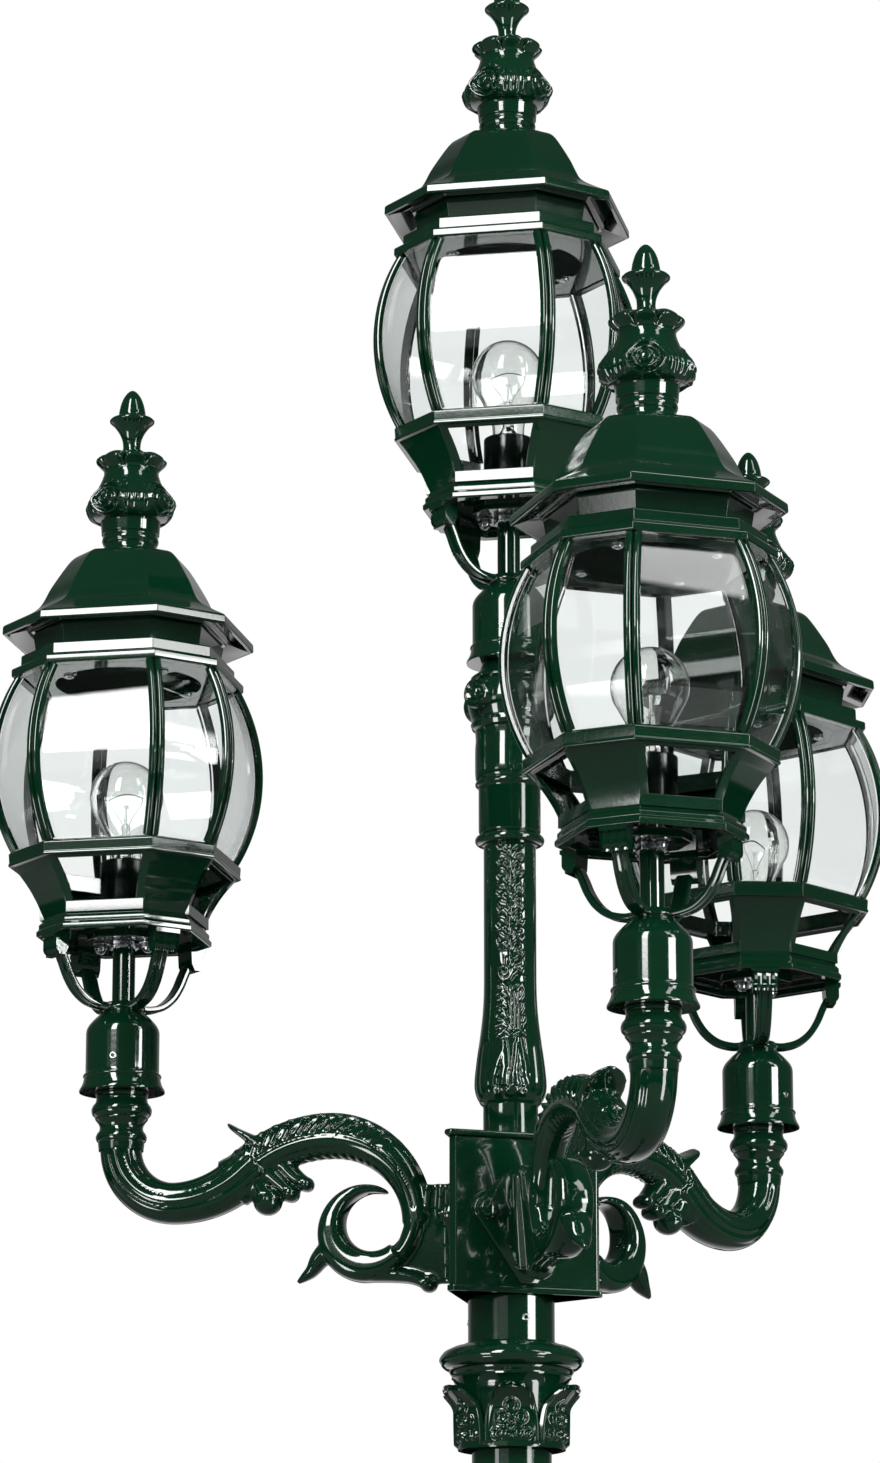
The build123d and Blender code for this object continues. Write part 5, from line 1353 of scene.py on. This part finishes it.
def between(tree, value, low, high, soft):
    """One where a value lies between two limits, with soft ends."""
    rise = add_node(tree, "ShaderNodeMapRange", {
        "Value": value, "From Min": low - soft, "From Max": low + soft}, interpolation_type="SMOOTHSTEP")
    fall = add_node(tree, "ShaderNodeMapRange", {
        "Value": value, "From Min": high - soft, "From Max": high + soft, "To Min": 1.0, "To Max": 0.0},
        interpolation_type="SMOOTHSTEP")
    window = add_node(tree, "ShaderNodeMath", {0: rise.outputs[0], 1: fall.outputs[0]}, operation="MULTIPLY")
    return window.outputs[0]


def mirrored_room(tree, front, right, side, height):
    """Light that gloss mirrors: a wall with a dark strip, a curtain and soft boxes in a dark room."""
    wall = add_node(tree, "ShaderNodeMapRange", {**BACKDROP, "Value": front}, interpolation_type="SMOOTHSTEP")
    edge = math.radians(WALL_EDGE)
    strip = between(tree, height, *np.radians(HORIZON), edge)
    curtain = add_node(tree, "ShaderNodeMath", {
        0: between(tree, height, *np.radians(CURTAIN_HEIGHTS), edge),
        1: between(tree, right, *CURTAIN_SIDES, CURTAIN_SIDE_EDGE)}, operation="MULTIPLY")
    dark = add_node(tree, "ShaderNodeMath", {0: strip, 1: curtain.outputs[0]}, operation="MAXIMUM")
    low, high = np.radians(WALL_TOP)
    above = add_node(tree, "ShaderNodeMapRange", {
        "Value": height, "From Min": low, "From Max": high, "To Min": 1.0, "To Max": WALL_ABOVE})
    lit = add_node(tree, "ShaderNodeMath", {0: above.outputs[0], 1: dark.outputs[0]},
                   operation="SUBTRACT", use_clamp=True)
    room = add_node(tree, "ShaderNodeMath", {0: wall.outputs[0], 1: lit.outputs[0]}, operation="MULTIPLY")
    for *limits, strength in SOFT_BOXES:
        low_side, high_side, low_rise, high_rise = np.radians(limits)
        shape = add_node(tree, "ShaderNodeMath", {
            0: between(tree, side, low_side, high_side, math.radians(BOX_EDGE)),
            1: between(tree, height, low_rise, high_rise, math.radians(BOX_EDGE))}, operation="MULTIPLY")
        room = add_node(tree, "ShaderNodeMath", {0: shape.outputs[0], 1: strength, 2: room.outputs[0]},
                        operation="MULTIPLY_ADD")
    return room.outputs[0]


def add_world(settings):
    """White for the eye and straight through glass, even light for dull paint, the room for gloss."""
    world = bpy.data.worlds.new("studio")
    bpy.context.scene.world = world
    world.use_nodes = True
    tree = world.node_tree
    tree.nodes.clear()
    path = add_node(tree, "ShaderNodeLightPath")
    where = add_node(tree, "ShaderNodeTexCoord").outputs["Generated"]
    toward_camera = (math.sin(settings.azimuth), -math.cos(settings.azimuth), 0.0)
    rightwards = (math.cos(settings.azimuth), math.sin(settings.azimuth), 0.0)
    front, right, rise = (
        add_node(tree, "ShaderNodeVectorMath", {0: where, 1: axis}, operation="DOT_PRODUCT").outputs["Value"]
        for axis in (toward_camera, rightwards, (0.0, 0.0, 1.0)))
    side = add_node(tree, "ShaderNodeMath", {0: right, 1: front}, operation="ARCTAN2").outputs[0]
    height = add_node(tree, "ShaderNodeMath", {0: rise}, operation="ARCSINE").outputs[0]
    room = mirrored_room(tree, front, right, side, height)
    sharp = add_node(tree, "ShaderNodeMath", {
        0: path.outputs["Is Glossy Ray"], 1: path.outputs["Is Transmission Ray"]}, operation="MAXIMUM")
    soft = add_node(tree, "ShaderNodeMix", {0: sharp.outputs[0], 2: settings.fill, 3: room})
    straight = add_node(tree, "ShaderNodeMath", {
        0: path.outputs["Glossy Depth"], 1: 0.5}, operation="LESS_THAN")
    through = add_node(tree, "ShaderNodeMath", {
        0: path.outputs["Is Transmission Ray"], 1: straight.outputs[0]}, operation="MULTIPLY")
    seen = add_node(tree, "ShaderNodeMath", {
        0: path.outputs["Is Camera Ray"], 1: through.outputs[0]}, operation="MAXIMUM")
    level = add_node(tree, "ShaderNodeMix", {0: seen.outputs[0], 2: soft.outputs[0], 3: 1.0})
    light = add_node(tree, "ShaderNodeBackground", {"Color": (1, 1, 1, 1), "Strength": level.outputs[0]})
    add_node(tree, "ShaderNodeOutputWorld", {"Surface": light.outputs[0]})


def add_lamps(settings):
    """Soft lamps, whose own shapes the gloss paint doesn't mirror."""
    front = math.radians(-90) + settings.azimuth
    for name, side, rise, power in LAMPS:
        lamp = bpy.data.lights.new(name, "AREA")
        lamp.size = LAMP_SIZE
        lamp.energy = power
        holder = new_object(name, lamp)
        angle = front + math.radians(side)
        away = Vector((math.cos(angle) * math.cos(rise), math.sin(angle) * math.cos(rise), math.sin(rise)))
        holder.location = Vector(LAMP_AIM) + away * LAMP_DISTANCE
        holder.rotation_euler = (-away).to_track_quat("-Z", "Y").to_euler()
        holder.visible_camera = False
        holder.visible_glossy = False
        holder.visible_transmission = False


def add_camera(settings):
    """Camera at the photograph's place."""
    camera = bpy.data.cameras.new("camera")
    camera.lens = settings.lens
    camera.sensor_width = SENSOR_WIDTH_MM
    holder = new_object("camera", camera)
    holder.location = CAMERA_SPOT
    holder.rotation_euler = (math.radians(90) + settings.pitch, 0.0, settings.azimuth)
    bpy.context.scene.camera = holder


# Operators


class LAMPPOST_OT_brackets(bpy.types.Operator):
    """Socket cups with their legs and corbels, and the conduits"""

    bl_idname = "lamppost.brackets"
    bl_label = "Brackets"

    def execute(self, context):
        sizes = context.scene.lamp_post_lantern
        finish = finishes["green_casting"]
        cup = new_mesh("cup", cup_shape(in_mm(sizes.cup_radius)))
        leg = new_mesh("leg", join(leg_shape(), corbel_shape()))
        legs = ring_of_mesh(leg, 4, finish, CORNER_TURN)
        add_to_lanterns("bracket", merged(cup, legs), finish)
        conduit = revolve([(7.7, 38.0), (9.3, 38.0), (9.3, 129.0), (7.7, 129.0)], ROUND_COARSE, True)
        add_to_lanterns("conduit", new_mesh("conduit", conduit), finishes["green_steel"])
        return {"FINISHED"}


class LAMPPOST_OT_galleries(bpy.types.Operator):
    """Floors, flanges and windowed tiers under the cages"""

    bl_idname = "lamppost.galleries"
    bl_label = "Galleries"

    def execute(self, context):
        flange, tier = gallery_shapes()
        wall = worked(new_mesh("tier", tier),
                      ("SOLIDIFY", {"thickness": 3.4 * MM, "offset": 1.0, "use_even_offset": True}),
                      ("BEVEL", {"width": 0.5 * MM, "segments": 2, "limit_method": "ANGLE",
                                 "angle_limit": math.radians(40)}))
        mesh = merged(softened(flange, 0.5, "flange"), wall)
        add_to_lanterns("gallery", mesh, finishes["green_casting"], flat=True)
        return {"FINISHED"}


class LAMPPOST_OT_cages(bpy.types.Operator):
    """Rings, bowed ribs and ceilings of the cages"""

    bl_idname = "lamppost.cages"
    bl_label = "Cages"

    def execute(self, context):
        sizes = context.scene.lamp_post_lantern
        finish = finishes["green_casting"]
        lower, upper = ring_shapes(in_mm(sizes.ring_radius))
        rib = rib_shape(in_mm(sizes.rib_bow))
        pair = join(moved(rib, turn=WIDE_HALF_ANGLE), moved(rib, turn=-WIDE_HALF_ANGLE))
        ribs = ring_of_mesh(new_mesh("rib", pair), 4, finish)
        rings = softened(join(lower, upper), 0.4, "rings")
        mesh = merged(rings, ribs, new_mesh("ceiling", ceiling_shape()))
        add_to_lanterns("cage", mesh, finish, flat=True)
        return {"FINISHED"}


class LAMPPOST_OT_panes(bpy.types.Operator):
    """Bowed glass panes"""

    bl_idname = "lamppost.panes"
    bl_label = "Panes"

    def execute(self, context):
        sizes = context.scene.lamp_post_lantern
        bow, thickness = in_mm(sizes.rib_bow), in_mm(sizes.pane_thickness)
        pair = join(pane_shape(bow, WIDE_HALF_ANGLE, thickness),
                    moved(pane_shape(bow, NARROW_HALF_ANGLE, thickness), turn=CORNER_TURN))
        mesh = ring_of_mesh(new_mesh("pane", pair), 4, finishes["pane_glass"])
        add_to_lanterns("glass", mesh, finishes["pane_glass"], smooth=40.0)
        return {"FINISHED"}


class LAMPPOST_OT_roofs(bpy.types.Operator):
    """Roofs and finials"""

    bl_idname = "lamppost.roofs"
    bl_label = "Roofs"

    def execute(self, context):
        sizes = context.scene.lamp_post_lantern
        finish = finishes["green_casting"]
        roof = softened(roof_shape(in_mm(sizes.rim_radius)), 1.2, "roof", 20.0, 3)
        add_to_lanterns("roof", roof, finish, "lantern_roof", flat=True)
        finial = new_mesh("finial", finial_shape())
        add_to_lanterns("finial", finial, finish, "lantern_roof", smooth=60)
        return {"FINISHED"}


class LAMPPOST_OT_lamps(bpy.types.Operator):
    """Lampholders and bulbs"""

    bl_idname = "lamppost.lamps"
    bl_label = "Lamps"

    def execute(self, context):
        sizes = context.scene.lamp_post_lantern
        holder = new_mesh("lampholder", holder_shape())
        add_to_lanterns("lampholder", holder, finishes["holder_plastic"])
        envelope, stem = bulb_shapes(in_mm(sizes.bulb_radius))
        glass = merged(new_mesh("envelope", envelope), new_mesh("stem", stem))
        add_to_lanterns("bulb_glass", glass, finishes["bulb_glass"], "lamp")
        cap = new_mesh("cap", cap_shape())
        add_to_lanterns("bulb_cap", cap, finishes["bulb_cap_metal"], "lamp")
        tungsten = finishes["filament"]
        wires = by_tree(filament_paths(), wire_tree(), wire_radius=0.22 * MM, sides=6, finish=tungsten)
        add_to_lanterns("filament", wires, tungsten, "lamp", nodes=())
        return {"FINISHED"}


class LAMPPOST_OT_hardware(bpy.types.Operator):
    """Screws and nuts of the lanterns"""

    bl_idname = "lamppost.hardware"
    bl_label = "Hardware"

    def execute(self, context):
        sizes = context.scene.lamp_post_lantern
        mesh = hardware_meshes(in_mm(sizes.cup_radius))
        add_to_lanterns("hardware", mesh, finishes["bright_steel"])
        return {"FINISHED"}


class LAMPPOST_OT_arms(bpy.types.Operator):
    """Scroll arms with their flanges and bolts"""

    bl_idname = "lamppost.arms"
    bl_label = "Arms"

    def execute(self, context):
        sizes = context.scene.lamp_post_arm
        finish = finishes["green_casting"]
        casting = arm_casting(sizes)
        mouldings = new_mesh("mouldings", arm_mouldings())
        flange = softened(flange_shape(), 1.0, "flange")
        arm = merged(casting, mouldings, flange)
        for name in ARMS:
            add_piece(f"{name}_arm_look", arm, finish, "post", [f"{name}_arm"],
                      arm_places[name], smooth=50)
        bolt = moved(softened_shape(bolt_shapes()), tilt=FACING_OUT)
        bolts = [moved(bolt, (FLANGE_FACE, side * BOLT_SPREAD, BOLT_LEVEL)) for side in (1, -1)]
        pair = new_mesh("bolts", join(*bolts))
        pair.transform(Matrix.Translation((0, 0, cup_level)))
        ring = ring_of_mesh(pair, 3, finishes["green_steel"], HUB_SIDE_TURN)
        add_piece("arm_bolts_look", ring, finishes["green_steel"], "post", ["arm_bolts"])
        return {"FINISHED"}


class LAMPPOST_OT_hub(bpy.types.Operator):
    """Triangular hub with its lid, socket and screws"""

    bl_idname = "lamppost.hub"
    bl_label = "Hub"

    def execute(self, context):
        casting, steel = finishes["green_casting"], finishes["bright_steel"]
        lid_level = HUB_TOP - LID_THICKNESS
        box = softened(prism(hub_outline(0.0), HUB_BOTTOM, lid_level), 1.2, "hub")
        foot = softened(prism(hub_outline(1.2), HUB_BOTTOM, HUB_BOTTOM + 5.0), 1.0, "hub_foot")
        line = [(POST_BORE, SOCKET_BOTTOM), (33.6, SOCKET_BOTTOM), (34.4, SOCKET_BOTTOM + 0.8)]
        line += [(34.4, HUB_BOTTOM), (POST_BORE, HUB_BOTTOM)]
        socket = new_mesh("socket", revolve(line, ROUND, True))
        add_piece("hub_body_look", merged(box, foot, socket), casting, "post", ["hub_body"],
                  flat=True)
        lid = softened(prism(hub_outline(3.0), lid_level, HUB_TOP), 2.2, "lid", 25.0, 4)
        add_piece("hub_lid_look", lid, casting, "post", ["hub_lid"], flat=True)
        screw_reach, screw_drop = 35.1, 195.0
        screw = moved(socket_screw(3.0, 3.0, 1.7), (screw_reach, 0, in_mm(cup_level) - screw_drop),
                      tilt=FACING_OUT)
        screws = ring_of_mesh(new_mesh("socket_screw", screw), 3, steel, HUB_SIDE_TURN)
        add_piece("socket_screws_look", screws, steel, "post", ["socket_screws"])
        return {"FINISHED"}


class LAMPPOST_OT_column(bpy.types.Operator):
    """Upper column with its ornament, and the rosette collar"""

    bl_idname = "lamppost.column"
    bl_label = "Column"

    def execute(self, context):
        finish = finishes["green_casting"]
        add_piece("column_look", column_mesh(), finish, "post", ["column"], smooth=50)
        collar, bosses = collar_shapes()
        mesh = merged(new_mesh("collar", collar), new_mesh("bosses", bosses))
        add_piece("top_spigot_look", mesh, finish, "post", ["top_spigot"])
        return {"FINISHED"}


class LAMPPOST_OT_capital(bpy.types.Operator):
    """Capital with its ring of leaves"""

    bl_idname = "lamppost.capital"
    bl_label = "Capital"

    def execute(self, context):
        finish = finishes["green_casting"]
        blade = worked(new_mesh("leaf", capital_leaf()),
                       ("SOLIDIFY", {"thickness": 2.4 * MM, "offset": -1.0}))
        leaves = ring_of_mesh(blade, 6, finish, LEAF_TURN)
        mesh = merged(new_mesh("capital", capital_body()), leaves)
        add_piece("capital_look", mesh, finish, "post", ["capital"], smooth=50)
        return {"FINISHED"}


class LAMPPOST_OT_lower_post(bpy.types.Operator):
    """Post tube, fluted casing, ring and foot"""

    bl_idname = "lamppost.lower_post"
    bl_label = "Lower Post"

    def execute(self, context):
        steel, casting = finishes["green_steel"], finishes["green_casting"]
        inner, low = 27.5, 10.0
        line = [(inner, low), (POST_RADIUS, low), (POST_RADIUS, HUB_BOTTOM), (inner, HUB_BOTTOM)]
        tube = revolve(line, ROUND, True)
        add_piece("post_tube_look", new_mesh("post_tube", tube), steel, "post", ["post_tube"])
        sleeve = new_mesh("lower_sleeve", sleeve_shape())
        add_piece("lower_sleeve_look", sleeve, casting, "post", ["lower_sleeve"])
        ring = new_mesh("shaft_ring", shaft_ring_shape())
        add_piece("shaft_ring_look", ring, casting, "post", ["shaft_ring"])
        foot = new_mesh("base_pedestal", pedestal_shape())
        add_piece("base_pedestal_look", foot, finishes["green_iron"], "post", ["base_pedestal"])
        return {"FINISHED"}


class LAMPPOST_OT_stage(bpy.types.Operator):
    """Floor, world, lamps and camera, and finishes of the inner pieces"""

    bl_idname = "lamppost.stage"
    bl_label = "Stage"

    def execute(self, context):
        settings = context.scene.lamp_post_stage
        for node, finish in (("terminal_block", "terminal_plastic"), ("column_tube", "bright_steel")):
            mesh = frame["nodes"][node].data
            mesh.materials.clear()
            mesh.materials.append(finishes[finish])
        add_floor(settings)
        add_world(settings)
        add_lamps(settings)
        add_camera(settings)
        context.scene.view_settings.view_transform = "Standard"
        return {"FINISHED"}


class LAMPPOST_PT_panel(bpy.types.Panel):
    """Lists the pieces and their sizes"""

    bl_idname = "LAMPPOST_PT_panel"
    bl_label = "Lamp Post"
    bl_space_type = "VIEW_3D"
    bl_region_type = "UI"
    bl_category = "Lamp Post"

    def draw(self, context):
        for name in SETTINGS:
            group = getattr(context.scene, name)
            box = self.layout.box()
            for label in group.__annotations__:
                box.prop(group, label)
        for step in BUILD_ORDER:
            self.layout.operator(step.bl_idname)


BUILD_ORDER = (
    LAMPPOST_OT_brackets,
    LAMPPOST_OT_galleries,
    LAMPPOST_OT_cages,
    LAMPPOST_OT_panes,
    LAMPPOST_OT_roofs,
    LAMPPOST_OT_lamps,
    LAMPPOST_OT_hardware,
    LAMPPOST_OT_arms,
    LAMPPOST_OT_hub,
    LAMPPOST_OT_column,
    LAMPPOST_OT_capital,
    LAMPPOST_OT_lower_post,
    LAMPPOST_OT_stage,
)
SETTINGS = {
    "lamp_post_lantern": LampPostLantern,
    "lamp_post_arm": LampPostArm,
    "lamp_post_paint": LampPostPaint,
    "lamp_post_stage": LampPostStage,
}
CLASSES = (*SETTINGS.values(), *BUILD_ORDER, LAMPPOST_PT_panel)


def register():
    """Registers the classes and hangs their settings on the scene."""
    for item in CLASSES:
        bpy.utils.register_class(item)
    for name, group in SETTINGS.items():
        setattr(bpy.types.Scene, name, bpy.props.PointerProperty(type=group))


def unregister():
    """Takes the settings and classes away."""
    for name in SETTINGS:
        delattr(bpy.types.Scene, name)
    for item in reversed(CLASSES):
        bpy.utils.unregister_class(item)


def main():
    """Builds every piece and the stage."""
    register()
    make_finishes(bpy.context.scene.lamp_post_paint)
    for step in BUILD_ORDER:
        group, name = step.bl_idname.split(".")
        getattr(getattr(bpy.ops, group), name)()


if __name__ == "__main__":
    main()
